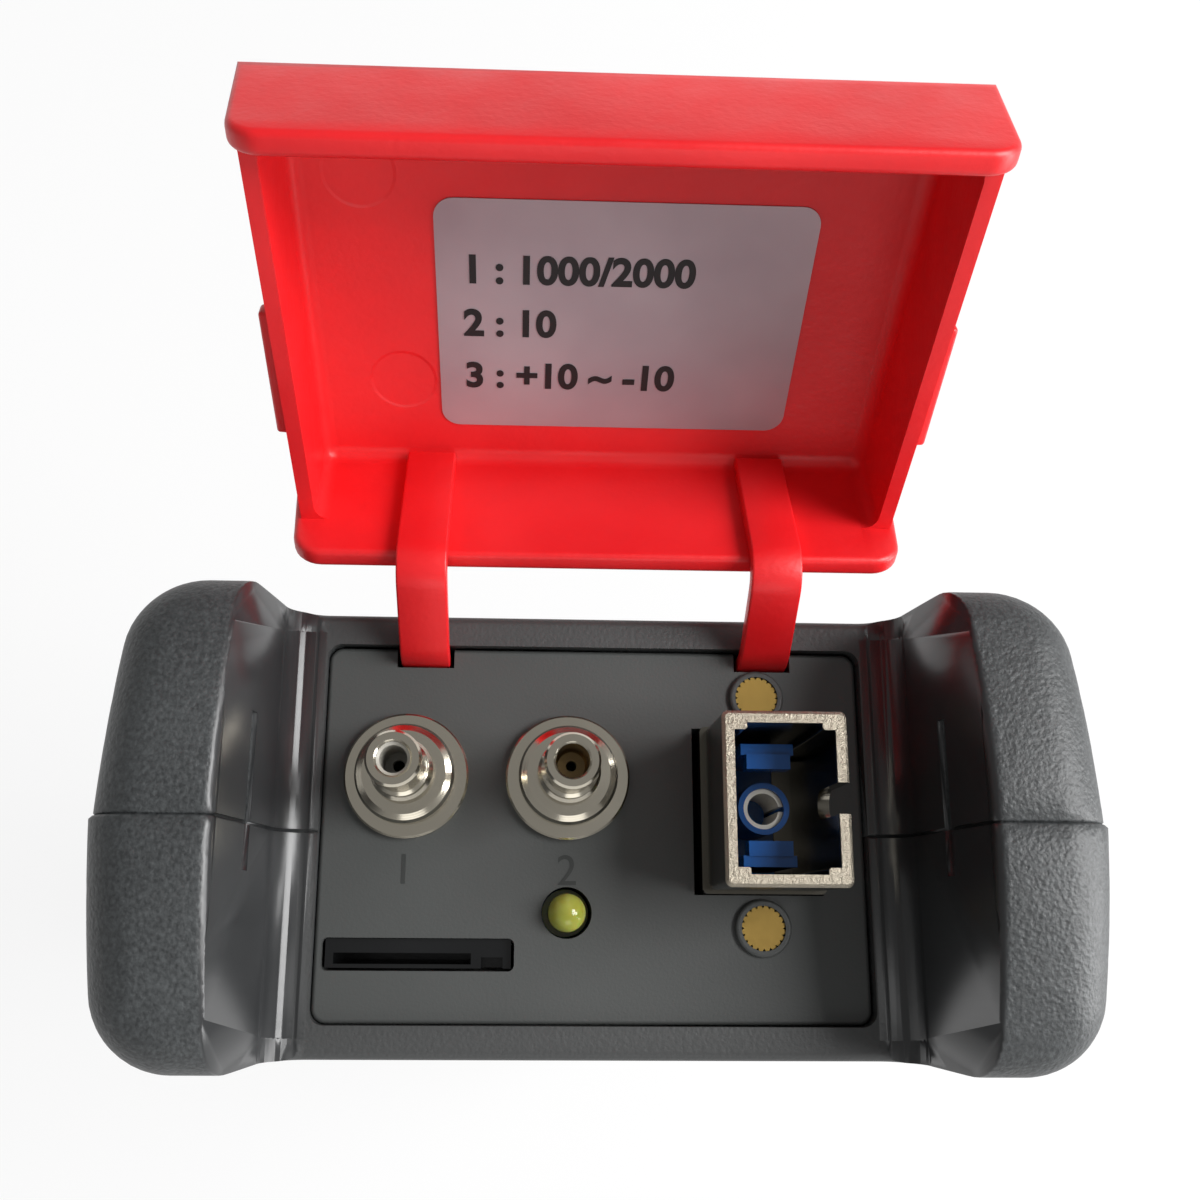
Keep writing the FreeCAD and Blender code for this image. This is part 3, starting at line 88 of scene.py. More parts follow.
def add(tree, kind, sockets=None, **settings):
    """One node: settings are its properties, sockets maps an input to a value or to another node's output."""
    node = tree.nodes.new("ShaderNode" + kind)
    for name, value in settings.items():
        setattr(node, name, value)
    for key, value in (sockets or {}).items():
        if isinstance(value, bpy.types.NodeSocket):
            tree.links.new(value, node.inputs[key])
        else:
            node.inputs[key].default_value = value
    return node


def start(name):
    """An empty node material with its tree and its Principled shader."""
    material = bpy.data.materials.new(name)
    material.use_nodes = True
    tree = material.node_tree
    shader = [n for n in tree.nodes if n.type == "BSDF_PRINCIPLED"][0]
    return material, tree, shader


def dress(node_name, material):
    """Gives one finish to a piece of the solid model."""
    mesh = nodes[node_name].data
    mesh.materials.clear()
    mesh.materials.append(material)


def settle(name, mesh_tool, material, body, smooth=True):
    """Turns a bmesh into a finished object that rides with a body."""
    bmesh.ops.remove_doubles(mesh_tool, verts=mesh_tool.verts, dist=1e-7)
    bmesh.ops.recalc_face_normals(mesh_tool, faces=mesh_tool.faces)
    data = bpy.data.meshes.new(name)
    mesh_tool.to_mesh(data)
    mesh_tool.free()
    data.materials.append(material)
    for face in data.polygons:
        face.use_smooth = smooth
    if smooth:
        data.set_sharp_from_angle(angle=math.radians(35))
    piece = bpy.data.objects.new(name, data)
    bpy.context.scene.collection.objects.link(piece)
    if body:
        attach(piece, body)
    print(name, len(data.polygons), "faces")
    return piece


print("tools ready")

# %% [markdown]
# ## Solids to join and cut with
# A moulding with walls, a room and ribs is easiest to describe as solids that are joined and cut. `prism`
# pulls a drawn outline along one axis, and `combine` joins, cuts or keeps the shared part with Boolean
# modifiers. They work in millimetres, and their result is scaled to metres once.

# %% solid tools
CORNER_SHARE = 0.9
SHARP_FOLD = math.radians(60)


def prism(outline, axis, low, high, rounds=(), edge=0.0):
    """A closed slab in mm: an outline of (u, v) pairs pulled along an axis, with corners and edges eased.

    A rounded corner is cut back along both its sides by CORNER_SHARE of the radius given for it."""
    tool = bmesh.new()
    place = {"X": lambda u, v: (low, u, v), "Y": lambda u, v: (u, low, v)}[axis]
    ring = [tool.verts.new(place(u, v)) for u, v in outline]
    tool.faces.new(ring)
    for corners, radius in rounds:
        bmesh.ops.bevel(tool, geom=[ring[i] for i in corners], offset=radius * CORNER_SHARE,
                        affect="VERTICES", segments=7, profile=0.5)
    made = bmesh.ops.extrude_face_region(tool, geom=tool.faces[:])["geom"]
    push = (high - low, 0, 0) if axis == "X" else (0, high - low, 0)
    bmesh.ops.translate(tool, vec=push, verts=[g for g in made if isinstance(g, bmesh.types.BMVert)])
    bmesh.ops.recalc_face_normals(tool, faces=tool.faces)
    if edge:
        ends = [e for e in tool.edges if e.calc_face_angle(0.0) > SHARP_FOLD]
        bmesh.ops.bevel(tool, geom=ends, offset=edge, affect="EDGES", segments=4, profile=0.5,
                        clamp_overlap=True)
    return tool


def as_object(name, tool):
    """An object in the scene with a bmesh as its mesh."""
    data = bpy.data.meshes.new(name)
    tool.to_mesh(data)
    tool.free()
    piece = bpy.data.objects.new(name, data)
    bpy.context.scene.collection.objects.link(piece)
    return piece


def combine(base, steps):
    """Joins, cuts or intersects a mesh object with helper solids and returns the result as a bmesh."""
    helpers = []
    for operation, tool in steps:
        helper = as_object("helper", tool)
        change = base.modifiers.new("combine", "BOOLEAN")
        change.operation, change.solver, change.object = operation, "EXACT", helper
        helpers.append(helper)
    bpy.context.view_layer.update()
    ready = base.evaluated_get(bpy.context.evaluated_depsgraph_get())
    result = bmesh.new()
    result.from_mesh(ready.to_mesh())
    ready.to_mesh_clear()
    for piece in helpers + [base]:
        bpy.data.objects.remove(piece)
    return result


print("solid tools ready")

# %% [markdown]
# ## The housing's plastic
# The two shells are charcoal ABS. The mould was spark-eroded, so the outside has a fine leathery grain about
# 0.3 mm across. The walls between the bumpers were left polished, and show faint vertical drag lines from
# the mould. One material does both: where a point lies across the tester tells whether it is inside the bay.

# %% housing finish
FOOT_HALF = 22.7
FOOT_RADIUS = 2.5
ROUND_TOP = 147.3
WALL_SLOPE = 0.116
WALL_HALF = FOOT_HALF + FOOT_RADIUS
IOR_ABS = 1.54


def step_up(tree, value, low, high):
    """A soft switch: 0 below the first value and 1 above the second."""
    return add(tree, "MapRange", {"Value": value, "From Min": low, "From Max": high}).outputs[0]


def calculate(tree, operation, *values):
    """One Math node between sockets and plain numbers."""
    return add(tree, "Math", dict(enumerate(values)), operation=operation).outputs[0]


def inside_bay(tree, split):
    """1 on the polished walls between the bumpers, 0 on the grained outside."""
    side = calculate(tree, "ABSOLUTE", split.outputs["X"])
    wall = calculate(tree, "MULTIPLY_ADD", split.outputs["Z"], WALL_SLOPE,
                     (WALL_HALF - ROUND_TOP * WALL_SLOPE) * MM)
    inner = step_up(tree, calculate(tree, "SUBTRACT", wall, side), -0.0004, -0.0002)
    high = step_up(tree, split.outputs["Z"], 0.1446, 0.1450)
    wide = step_up(tree, side, 0.0222, 0.0228)
    return calculate(tree, "MULTIPLY", calculate(tree, "MULTIPLY", inner, high), wide)


def on_border(tree, split):
    """1 on the smooth flat frame round the port plate."""
    side = calculate(tree, "ABSOLUTE", split.outputs["X"])
    low = step_up(tree, split.outputs["Z"], 0.1440, 0.1442)
    narrow = step_up(tree, side, 0.0245, 0.0236)
    return calculate(tree, "MULTIPLY", low, narrow)


def housing_finish():
    material, tree, shader = start("spark_eroded_abs")
    spot = add(tree, "TexCoord").outputs["Object"]
    split = add(tree, "SeparateXYZ", {0: spot})
    bay = inside_bay(tree, split)
    border = on_border(tree, split)

    grain = add(tree, "TexNoise", {"Vector": spot, "Scale": 2900.0, "Detail": 3.0, "Roughness": 0.6})
    pebble = add(tree, "TexVoronoi", {"Vector": spot, "Scale": 3300.0}, feature="SMOOTH_F1")
    skin = add(tree, "Mix", {"Factor": 0.45, "A": grain.outputs["Fac"], "B": pebble.outputs["Distance"]})
    stretch = add(tree, "Mapping", {"Vector": spot, "Scale": (260.0, 420.0, 16.0)})
    drag = add(tree, "TexNoise", {"Vector": stretch.outputs[0], "Scale": 1.0, "Detail": 2.0})
    height = add(tree, "Mix", {"Factor": bay, "A": skin.outputs[0], "B": drag.outputs["Fac"]})
    depth = add(tree, "MapRange", {"Value": calculate(tree, "MAXIMUM", bay, border), "To Min": 0.00014,
                                   "To Max": 0.00006})
    bump = add(tree, "Bump", {"Height": height.outputs[0], "Distance": depth.outputs[0], "Strength": 0.7})

    cloud = add(tree, "TexNoise", {"Vector": spot, "Scale": 60.0, "Detail": 4.0})
    pepper = add(tree, "Mix", {"Factor": 0.75, "A": cloud.outputs["Fac"], "B": grain.outputs["Fac"]})
    tone = add(tree, "ValToRGB", {"Fac": pepper.outputs[0]})
    tone.color_ramp.elements[0].position, tone.color_ramp.elements[0].color = 0.38, colour("#2c2e2f")
    tone.color_ramp.elements[1].position, tone.color_ramp.elements[1].color = 0.66, colour("#46494a")
    frame_tone = add(tree, "Mix", {"Factor": border, "A": tone.outputs[0], "B": colour("#3d3e3e")},
                     data_type="RGBA")
    paint = add(tree, "Mix", {"Factor": bay, "A": frame_tone.outputs["Result"], "B": colour("#2b2c2d")},
                data_type="RGBA")
    gloss = add(tree, "MapRange", {"Value": bay, "To Min": 0.5, "To Max": 0.3})
    tree.links.new(paint.outputs["Result"], shader.inputs["Base Color"])
    tree.links.new(gloss.outputs[0], shader.inputs["Roughness"])
    tree.links.new(bump.outputs[0], shader.inputs["Normal"])
    shader.inputs["IOR"].default_value = IOR_ABS
    return material


housing = housing_finish()
dress("battery_door", housing)
print("housing finish ready")

# %% [markdown]
# ## The bay's hollow walls
# Each wall between the bumpers starts from the floor in a round foot and then rises steeply. The solid shells
# have one straight slope there, so a copy of each shell is merged and a prism of the hollow section is cut
# from it. A second cut, a little larger and very thin, runs up the walls as the dark line where the shells
# meet.

# %% bay walls
FOOT_START, FOOT_STEPS = -84, 8
CUT_TOP, CUT_INNER, CUT_FLOOR = 159.0, 20.0, 146.0
BAY_REACH = 19
SEAM_DEPTH, SEAM_FRONT, SEAM_BACK = 0.2, -0.45, -0.15


def bay_cutter(grow, low, high):
    """Both hollow walls of the bay in mm, grown outwards by a little, from one place in depth to another."""
    radius = FOOT_RADIUS + grow
    turns = [math.radians(FOOT_START - FOOT_START * i / FOOT_STEPS) for i in range(FOOT_STEPS + 1)]
    right = [(FOOT_HALF + radius * math.cos(t), ROUND_TOP + radius * math.sin(t)) for t in turns]
    right.append((WALL_HALF + grow + (CUT_TOP - ROUND_TOP) * WALL_SLOPE, CUT_TOP))
    right += [(CUT_INNER, CUT_TOP), (CUT_INNER, CUT_FLOOR)]
    both = bmesh.new()
    for hand in (1, -1):
        part = prism([(hand * u, v) for u, v in right], "Y", low, high)
        data = bpy.data.meshes.new("bay_half")
        part.to_mesh(data)
        part.free()
        both.from_mesh(data)
    return both


for name in ("front_shell", "rear_shell"):
    blank = bmesh.new()
    blank.from_mesh(nodes[name].data)
    bmesh.ops.scale(blank, vec=(1 / MM, 1 / MM, 1 / MM), verts=blank.verts)
    bmesh.ops.remove_doubles(blank, verts=blank.verts, dist=1e-4)
    cuts = [("DIFFERENCE", bay_cutter(0.0, -BAY_REACH, BAY_REACH)),
            ("DIFFERENCE", bay_cutter(SEAM_DEPTH, SEAM_FRONT, SEAM_BACK))]
    shell = combine(as_object(name + "_blank", blank), cuts)
    bmesh.ops.scale(shell, vec=(MM, MM, MM), verts=shell.verts)
    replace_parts(settle(name + "_skin", shell, housing, "case"), name)
print("both shells recut")

# %% [markdown]
# ## The port plate
# The plate under the ports is the same plastic with a much finer, flatter grain, so it reads as an even grey.

# %% plate finish
def plate_finish():
    material, tree, shader = start("fine_matte_abs")
    spot = add(tree, "TexCoord").outputs["Object"]
    grain = add(tree, "TexNoise", {"Vector": spot, "Scale": 4200.0, "Detail": 2.0})
    cloud = add(tree, "TexNoise", {"Vector": spot, "Scale": 45.0, "Detail": 3.0})
    tone = add(tree, "ValToRGB", {"Fac": cloud.outputs["Fac"]})
    tone.color_ramp.elements[0].position, tone.color_ramp.elements[0].color = 0.3, colour("#3f4140")
    tone.color_ramp.elements[1].position, tone.color_ramp.elements[1].color = 0.7, colour("#464847")
    bump = add(tree, "Bump", {"Height": grain.outputs["Fac"], "Distance": 0.00003, "Strength": 0.4})
    tree.links.new(tone.outputs[0], shader.inputs["Base Color"])
    tree.links.new(bump.outputs[0], shader.inputs["Normal"])
    shader.inputs["Roughness"].default_value = 0.5
    shader.inputs["IOR"].default_value = IOR_ABS
    return material


plate = plate_finish()
dress("port_panel", plate)
print("plate dressed")

# %% [markdown]
# ## Red soft plastic
# The dust cover and its straps are one moulding in red polypropylene: a little light goes into it, so its
# shadows stay warm. Ejector pins left two shallow round marks on its inner face, and handling wears its gloss
# unevenly. A mark is a ring in the bump, at a distance from its middle.

# %% cover finish
COVER_TURN = Matrix.Rotation(math.radians(-120.8), 4, "X")
COVER_PLACE = Matrix.Translation(Vector((0.0, 20.2, 149.2)) * MM) @ COVER_TURN


ROOF_INSIDE = 12.3
RING_HALF = 0.12
MARK_RADIUS = 2.6


def in_cover(across, along, deep):
    """A point of the cover in mm from its hinge-side foot edge: across, along, and in from its mouth."""
    return COVER_PLACE @ (Vector((across, -along, deep)) * MM)


def red_finish(name, marks):
    material, tree, shader = start(name)
    spot = add(tree, "TexCoord").outputs["Object"]
    cloud = add(tree, "TexNoise", {"Vector": spot, "Scale": 90.0, "Detail": 4.0})
    tone = add(tree, "ValToRGB", {"Fac": cloud.outputs["Fac"]})
    tone.color_ramp.elements[0].position, tone.color_ramp.elements[0].color = 0.25, colour("#d8141b")
    tone.color_ramp.elements[1].position, tone.color_ramp.elements[1].color = 0.8, colour("#e82126")
    grain = add(tree, "TexNoise", {"Vector": spot, "Scale": 1900.0, "Detail": 3.0})
    height = grain.outputs["Fac"]
    for across, along in marks:
        middle = in_cover(across, along, ROOF_INSIDE)
        away = add(tree, "VectorMath", {0: spot, 1: tuple(middle)}, operation="DISTANCE")
        rim = add(tree, "MapRange", {"Value": away.outputs["Value"], "To Min": -1.6, "To Max": 0.0,
                                     "From Min": (MARK_RADIUS - RING_HALF) * MM,
                                     "From Max": (MARK_RADIUS + RING_HALF) * MM})
        height = add(tree, "Math", {0: height, 1: rim.outputs[0]}, operation="ADD").outputs[0]
    bump = add(tree, "Bump", {"Height": height, "Distance": 0.00005, "Strength": 0.5})
    rub = add(tree, "TexNoise", {"Vector": spot, "Scale": 240.0, "Detail": 5.0})
    gloss = add(tree, "MapRange", {"Value": rub.outputs["Fac"], "From Min": 0.3, "From Max": 0.7,
                                   "To Min": 0.34, "To Max": 0.46})
    tree.links.new(tone.outputs[0], shader.inputs["Base Color"])
    tree.links.new(gloss.outputs[0], shader.inputs["Roughness"])
    tree.links.new(bump.outputs[0], shader.inputs["Normal"])
    shader.inputs["IOR"].default_value = 1.49
    shader.inputs["Subsurface Weight"].default_value = 0.12
    shader.inputs["Subsurface Radius"].default_value = (1.0, 0.12, 0.06)
    shader.inputs["Subsurface Scale"].default_value = 0.0012
    return material


cover_red = red_finish("moulded_polypropylene", ((-16.0, 9.6), (-18.2, 27.0)))
strap_red = red_finish("strap_polypropylene", ())
print("red finishes ready; the cover's inner middle is at",
      tuple(round(v, 4) for v in in_cover(0, 17.5, ROOF_INSIDE)))

# %% [markdown]
# ## The cover's moulding
# The cover is a box with thick, well-rounded end plates that stand out past its side walls. The side walls
# stop short of the mouth, more at the hinge end, and each has a catch rib outside. A tapered block is trimmed
# by a slanting cut, joined to the end plates, trimmed to the side view's rounded corners and hollowed.

# %% cover moulding
COVER_LENGTH, COVER_HEIGHT = 35.0, 13.8
ROOF_THICK = 1.5
END_THICK, END_EDGE = 1.7, 0.5
WALL_INSET = 0.6
SHORT_AT_HINGE, SHORT_AT_END = 4.05, 1.95
PAST = 0.5
WIDE = 40


def trapezoid(low_half, high_half, low, high):
    """A section that widens or narrows evenly between two heights."""
    return [(-low_half, low), (low_half, low), (high_half, high), (-high_half, high)]


def catch_rib(hand):
    """The low rib on one side wall that clicks into the housing."""
    section = [(hand * 23.5, 4.0), (hand * 24.95, 4.15), (hand * 24.95, 5.5), (hand * 23.5, 5.8)]
    return prism(section, "Y", -20.3, -10.0, edge=0.25)


def cover_body():
    """End plates with round feet, side walls whose mouth edge slants in, one room and two catch ribs."""
    length, height = COVER_LENGTH, COVER_HEIGHT
    walls = prism(trapezoid(23.86, 24.7, 0.0, height), "Y", -length + WALL_INSET, -WALL_INSET,
                  rounds=(((2, 3), 1.5),))
    plates = [prism(trapezoid(24.3, 25.6, 0.0, height), "Y", low, low + END_THICK, edge=END_EDGE,
                    rounds=(((0, 1), 2.4), ((2, 3), 2.0))) for low in (-length, -END_THICK)]
    slant = prism([(PAST, -1), (PAST, SHORT_AT_HINGE), (-length - PAST, SHORT_AT_END), (-length - PAST, -1)],
                  "X", -WIDE, WIDE)
    room = prism(trapezoid(22.75, 23.2, -2.0, height - ROOF_THICK), "Y", -length + END_THICK, -END_THICK,
                 edge=1.2)
    side_view = prism([(0.0, -1), (0.0, height), (-length, height), (-length, -1)], "X", -WIDE, WIDE,
                      rounds=(((1, 2), 4.3),))
    steps = [("DIFFERENCE", slant)] + [("UNION", plate_end) for plate_end in plates]
    steps += [("INTERSECT", side_view), ("DIFFERENCE", room)]
    steps += [("UNION", catch_rib(hand)) for hand in (1, -1)]
    return combine(as_object("cover_blank", walls), steps)


cover_mesh = cover_body()
bmesh.ops.transform(cover_mesh, matrix=COVER_PLACE @ Matrix.Scale(MM, 4), verts=cover_mesh.verts)
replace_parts(settle("cover_moulding", cover_mesh, cover_red, "cover"), "dust_cover")
print("cover moulded")

# %% [markdown]
# ## The two bending straps
# Each strap is a flat strip moulded with the cover. A rectangle with softened corners is pulled straight up,
# spun round the first bend, pulled on, spun back round the second and pulled along the cover's end wall,
# all in many short steps.

# %% straps
def pull(tool, ring, step, count):
    """Extrudes a loop of edges in short straight steps."""
    for _ in range(count):
        made = bmesh.ops.extrude_edge_only(tool, edges=ring)["geom"]
        moved = [g for g in made if isinstance(g, bmesh.types.BMVert)]
        bmesh.ops.translate(tool, vec=step / count, verts=moved)
        ring = [g for g in made if isinstance(g, bmesh.types.BMEdge) and g.is_boundary]
    return ring


def swing(tool, ring, centre, angle, count):
    """Spins a loop of edges about an X-wise line."""
    for _ in range(count):
        made = bmesh.ops.extrude_edge_only(tool, edges=ring)["geom"]
        moved = [g for g in made if isinstance(g, bmesh.types.BMVert)]
        bmesh.ops.rotate(tool, cent=centre, matrix=Matrix.Rotation(angle / count, 3, "X"), verts=moved)
        ring = [g for g in made if isinstance(g, bmesh.types.BMEdge) and g.is_boundary]
    return ring


STRAP_WIDE, STRAP_THICK, STRAP_EDGE = 4.0, 1.2, 0.18
STRAP_Y = 13.95
FIRST_BEND, SECOND_BEND = 4.0, 2.6


def strap(name, across):
    """One flat strip from under the plate, up and over to the rear, and into the cover."""
    tool = bmesh.new()
    bmesh.ops.create_grid(tool, x_segments=1, y_segments=1, size=0.5)
    bmesh.ops.scale(tool, vec=(STRAP_WIDE * MM, STRAP_THICK * MM, 1.0), verts=tool.verts)
    bmesh.ops.bevel(tool, geom=tool.verts[:], offset=STRAP_EDGE * MM, affect="VERTICES", segments=3,
                    profile=0.5, material=-1)
    corners = [(STRAP_Y, 140.0), (STRAP_Y, 144.8), (19.9, 151.95), (31.34, 145.13)]
    path = [Vector((across, rear, up)) * MM for rear, up in corners]
    bmesh.ops.translate(tool, vec=path[0], verts=tool.verts)
    ring = [e for e in tool.edges if e.is_boundary]
    heading = (path[1] - path[0]).normalized()
    here = path[0]
    for i, radius in ((1, FIRST_BEND * MM), (2, SECOND_BEND * MM)):
        leaving = (path[i + 1] - path[i]).normalized()
        turn = math.atan2(heading.y * leaving.z - heading.z * leaving.y, heading.dot(leaving))
        reach = radius * math.tan(abs(turn) / 2)
        stop = path[i] - heading * reach
        ring = pull(tool, ring, stop - here, 6)
        normal = Vector((0, -heading.z, heading.y)) * (1 if turn > 0 else -1)
        ring = swing(tool, ring, stop + normal * radius, turn, 12)
        here = path[i] + leaving * reach
        heading = leaving
    ring = pull(tool, ring, path[3] - here, 8)
    bmesh.ops.holes_fill(tool, edges=ring, sides=0)
    return settle(name, tool, strap_red, None)


for name, across in (("strap_left", -14.0), ("strap_right", 14.0)):
    band = strap(name + "_band", across)
    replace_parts(band, name)
    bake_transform(band)

# %% [markdown]
# ## Metals
# The round ports are turned brass with bright nickel plate: a mirror with fine lathe lines. The square port
# is a die casting, bead-blasted and then plated, so its rim sparkles; its walls and inside get a darker tint,
# which is painted shade. The inserts are bare knurled brass.

# %% metal finishes
def turned_nickel(name, tint, rough):
    material, tree, shader = start(name)
    spot = add(tree, "TexCoord").outputs["Object"]
    split = add(tree, "SeparateXYZ", {0: spot})
    lathe = add(tree, "TexNoise", {"Vector": spot, "Scale": 9000.0})
    rings = add(tree, "Math", {0: split.outputs["Z"], 1: 60000.0}, operation="MULTIPLY")
    rings = add(tree, "Math", {0: rings.outputs[0]}, operation="SINE")
    mixed = add(tree, "Mix", {"Factor": 0.35, "A": rings.outputs[0], "B": lathe.outputs["Fac"]})
    bump = add(tree, "Bump", {"Height": mixed.outputs[0], "Distance": 0.000004, "Strength": 0.25})
    haze = add(tree, "TexNoise", {"Vector": spot, "Scale": 500.0, "Detail": 3.0})
    gloss = add(tree, "MapRange", {"Value": haze.outputs["Fac"], "To Min": rough * 0.7,
                                   "To Max": rough * 1.4})
    shader.inputs["Base Color"].default_value = colour(tint)
    shader.inputs["Metallic"].default_value = 1.0
    tree.links.new(gloss.outputs[0], shader.inputs["Roughness"])
    tree.links.new(bump.outputs[0], shader.inputs["Normal"])
    return material


def blasted_nickel():
    material, tree, shader = start("bead_blasted_nickel_painted_shade")
    spot = add(tree, "TexCoord").outputs["Object"]
    split = add(tree, "SeparateXYZ", {0: spot})
    face = add(tree, "MapRange", {"Value": split.outputs["Z"], "From Min": 0.15455, "From Max": 0.15475})
    pits = add(tree, "TexNoise", {"Vector": spot, "Scale": 3200.0, "Detail": 4.0, "Roughness": 0.7})
    bump = add(tree, "Bump", {"Height": pits.outputs["Fac"], "Distance": 0.00016,
                              "Strength": face.outputs[0]})
    # Painted shade: the rim face gets the bright tint, and the walls and inside below it get a darker one.
    tone = add(tree, "Mix", {"Factor": face.outputs[0], "A": colour("#6f6b62"), "B": colour("#a29a8b")},
               data_type="RGBA")
    gloss = add(tree, "MapRange", {"Value": face.outputs[0], "To Min": 0.2, "To Max": 0.36})
    tree.links.new(tone.outputs["Result"], shader.inputs["Base Color"])
    tree.links.new(gloss.outputs[0], shader.inputs["Roughness"])
    tree.links.new(bump.outputs[0], shader.inputs["Normal"])
    shader.inputs["Metallic"].default_value = 1.0
    return material


def plain_metal(name, tint, rough, scale=1500.0):
    material, tree, shader = start(name)
    spot = add(tree, "TexCoord").outputs["Object"]
    grit = add(tree, "TexNoise", {"Vector": spot, "Scale": scale, "Detail": 4.0})
    bump = add(tree, "Bump", {"Height": grit.outputs["Fac"], "Distance": 0.00002, "Strength": 0.4})
    gloss = add(tree, "MapRange", {"Value": grit.outputs["Fac"], "To Min": rough * 0.75,
                                   "To Max": rough * 1.25})
    shader.inputs["Base Color"].default_value = colour(tint)
    shader.inputs["Metallic"].default_value = 1.0
    tree.links.new(gloss.outputs[0], shader.inputs["Roughness"])
    tree.links.new(bump.outputs[0], shader.inputs["Normal"])
    return material


dress("sc_adapter", blasted_nickel())
bright = turned_nickel("turned_nickel_plate", "#cbc4b4", 0.18)
for name in ("port_one", "port_two"):
    dress(name, bright)
brass = plain_metal("knurled_brass", "#a08448", 0.42)
steel = plain_metal("machined_steel", "#9b9b98", 0.35)
black_steel = plain_metal("blackened_steel", "#3c3c3d", 0.4)
cast = plain_metal("cast_aluminium", "#9a9c9e", 0.45)
for name, finish in (("insert_upper", brass), ("insert_lower", brass), ("port_one_nut", steel),
                     ("port_two_nut", steel), ("board_spacers", steel), ("display_frame", steel),
                     ("charge_socket", steel), ("battery_contacts", steel), ("meter_photodiode", steel),
                     ("adapter_screws", black_steel), ("door_screw", black_steel),
                     ("case_screws", black_steel),
                     ("fault_laser", cast), ("optics_module", cast)):
    dress(name, finish)
print("metals dressed")

# %% [markdown]
# ## Small plastics
# Everything else is moulded, ground or printed. Each gets its own tint, a fine grain and a suitable gloss.

# %% small finishes
def moulded(name, low, high, rough, grain=2400.0, depth=0.00002):
    material, tree, shader = start(name)
    spot = add(tree, "TexCoord").outputs["Object"]
    cloud = add(tree, "TexNoise", {"Vector": spot, "Scale": 120.0, "Detail": 4.0})
    tone = add(tree, "ValToRGB", {"Fac": cloud.outputs["Fac"]})
    tone.color_ramp.elements[0].position, tone.color_ramp.elements[0].color = 0.3, colour(low)
    tone.color_ramp.elements[1].position, tone.color_ramp.elements[1].color = 0.7, colour(high)
    skin = add(tree, "TexNoise", {"Vector": spot, "Scale": grain, "Detail": 3.0})
    bump = add(tree, "Bump", {"Height": skin.outputs["Fac"], "Distance": depth, "Strength": 0.5})
    tree.links.new(tone.outputs[0], shader.inputs["Base Color"])
    tree.links.new(bump.outputs[0], shader.inputs["Normal"])
    shader.inputs["Roughness"].default_value = rough
    shader.inputs["IOR"].default_value = 1.5
    return material


black = moulded("glossy_black_lcp", "#0c0d0e", "#131415", 0.22)
blue = moulded("blue_polycarbonate", "#004a92", "#0057a6", 0.25)
rubber = moulded("moulded_silicone", "#26282a", "#2e3032", 0.55, 1800.0, 0.00004)
mat = moulded("grey_silicone_sheet", "#7f8182", "#8b8d8e", 0.6)
board = moulded("solder_mask_green", "#1a4d33", "#20603f", 0.35)
tray_black = moulded("matte_black_abs", "#1e1f20", "#272829", 0.6)
wrap = moulded("green_shrink_film", "#2f6f3f", "#3d8050", 0.3)
yellow = moulded("coated_fibre", "#caa12c", "#e0b83e", 0.4)
ceramic = moulded("ground_zirconia", "#e9e4d8", "#f2eee4", 0.2)
for name, finish in (("card_socket", black), ("buzzer", black), ("display_module", tray_black),
                     ("sc_latch_insert", blue), ("split_sleeve", ceramic), ("pigtail_plug", blue),
                     ("main_board", board), ("keypad_board", board), ("key_domes", mat),
                     ("battery_tray", tray_black),
                     ("fibre_tray", tray_black), ("fibre_coil", yellow), ("battery_cells", wrap)):
    dress(name, finish)
for name in nodes:
    if name.startswith("key_") and name != "key_domes":
        dress(name, rubber)
print("small plastics dressed")

# %% [markdown]
# ## What lies in the two round bores
# The left bore has a pale sleeve with a bored seat in it, the right bore a brown seat with a smaller hole.
# Each is a short section spun once round the port's axis.

# %% port bores
PORT_BACK = 4.2
PORT_ONE, PORT_TWO = -15.2, -2.2


def spun(name, across, section, material):
    """Turns a closed section of (radius, height) pairs in mm about a round port's axis."""
    tool = bmesh.new()
    ring = [tool.verts.new((radius, 0, up)) for radius, up in section]
    for i in range(len(ring)):
        tool.edges.new((ring[i - 1], ring[i]))
    bmesh.ops.spin(tool, geom=tool.verts[:] + tool.edges[:], cent=(0, 0, 0), axis=(0, 0, 1), angle=math.tau,
                   steps=40, use_merge=True)
    bmesh.ops.remove_doubles(tool, verts=tool.verts, dist=1e-4)
    bmesh.ops.recalc_face_normals(tool, faces=tool.faces)
    place = Matrix.Translation(Vector((across, PORT_BACK, 0)) * MM) @ Matrix.Scale(MM, 4)
    bmesh.ops.transform(tool, matrix=place, verts=tool.verts)
    return settle(name, tool, material, "case")


pale = moulded("ground_pale_sleeve", "#9a978e", "#aaa79e", 0.3)
brown = plain_metal("brown_seat_metal", "#6d5b40", 0.4)
sleeve = [(1.24, 149.9), (1.24, 154.9), (1.02, 154.7), (1.02, 150.6), (0.45, 150.6), (0.45, 149.9)]
spun("port_one_sleeve", PORT_ONE, sleeve, pale)
seat = [(1.24, 150.9), (1.24, 152.0), (1.05, 151.6), (0.4, 151.6), (0.4, 150.9)]
spun("port_two_seat", PORT_TWO, seat, brown)
print("port bores lined")

# %% [markdown]
# ## Status lamp and screen glass
# The lamp is a tinted epoxy dome. The screen is black glass over a dark panel, switched off.

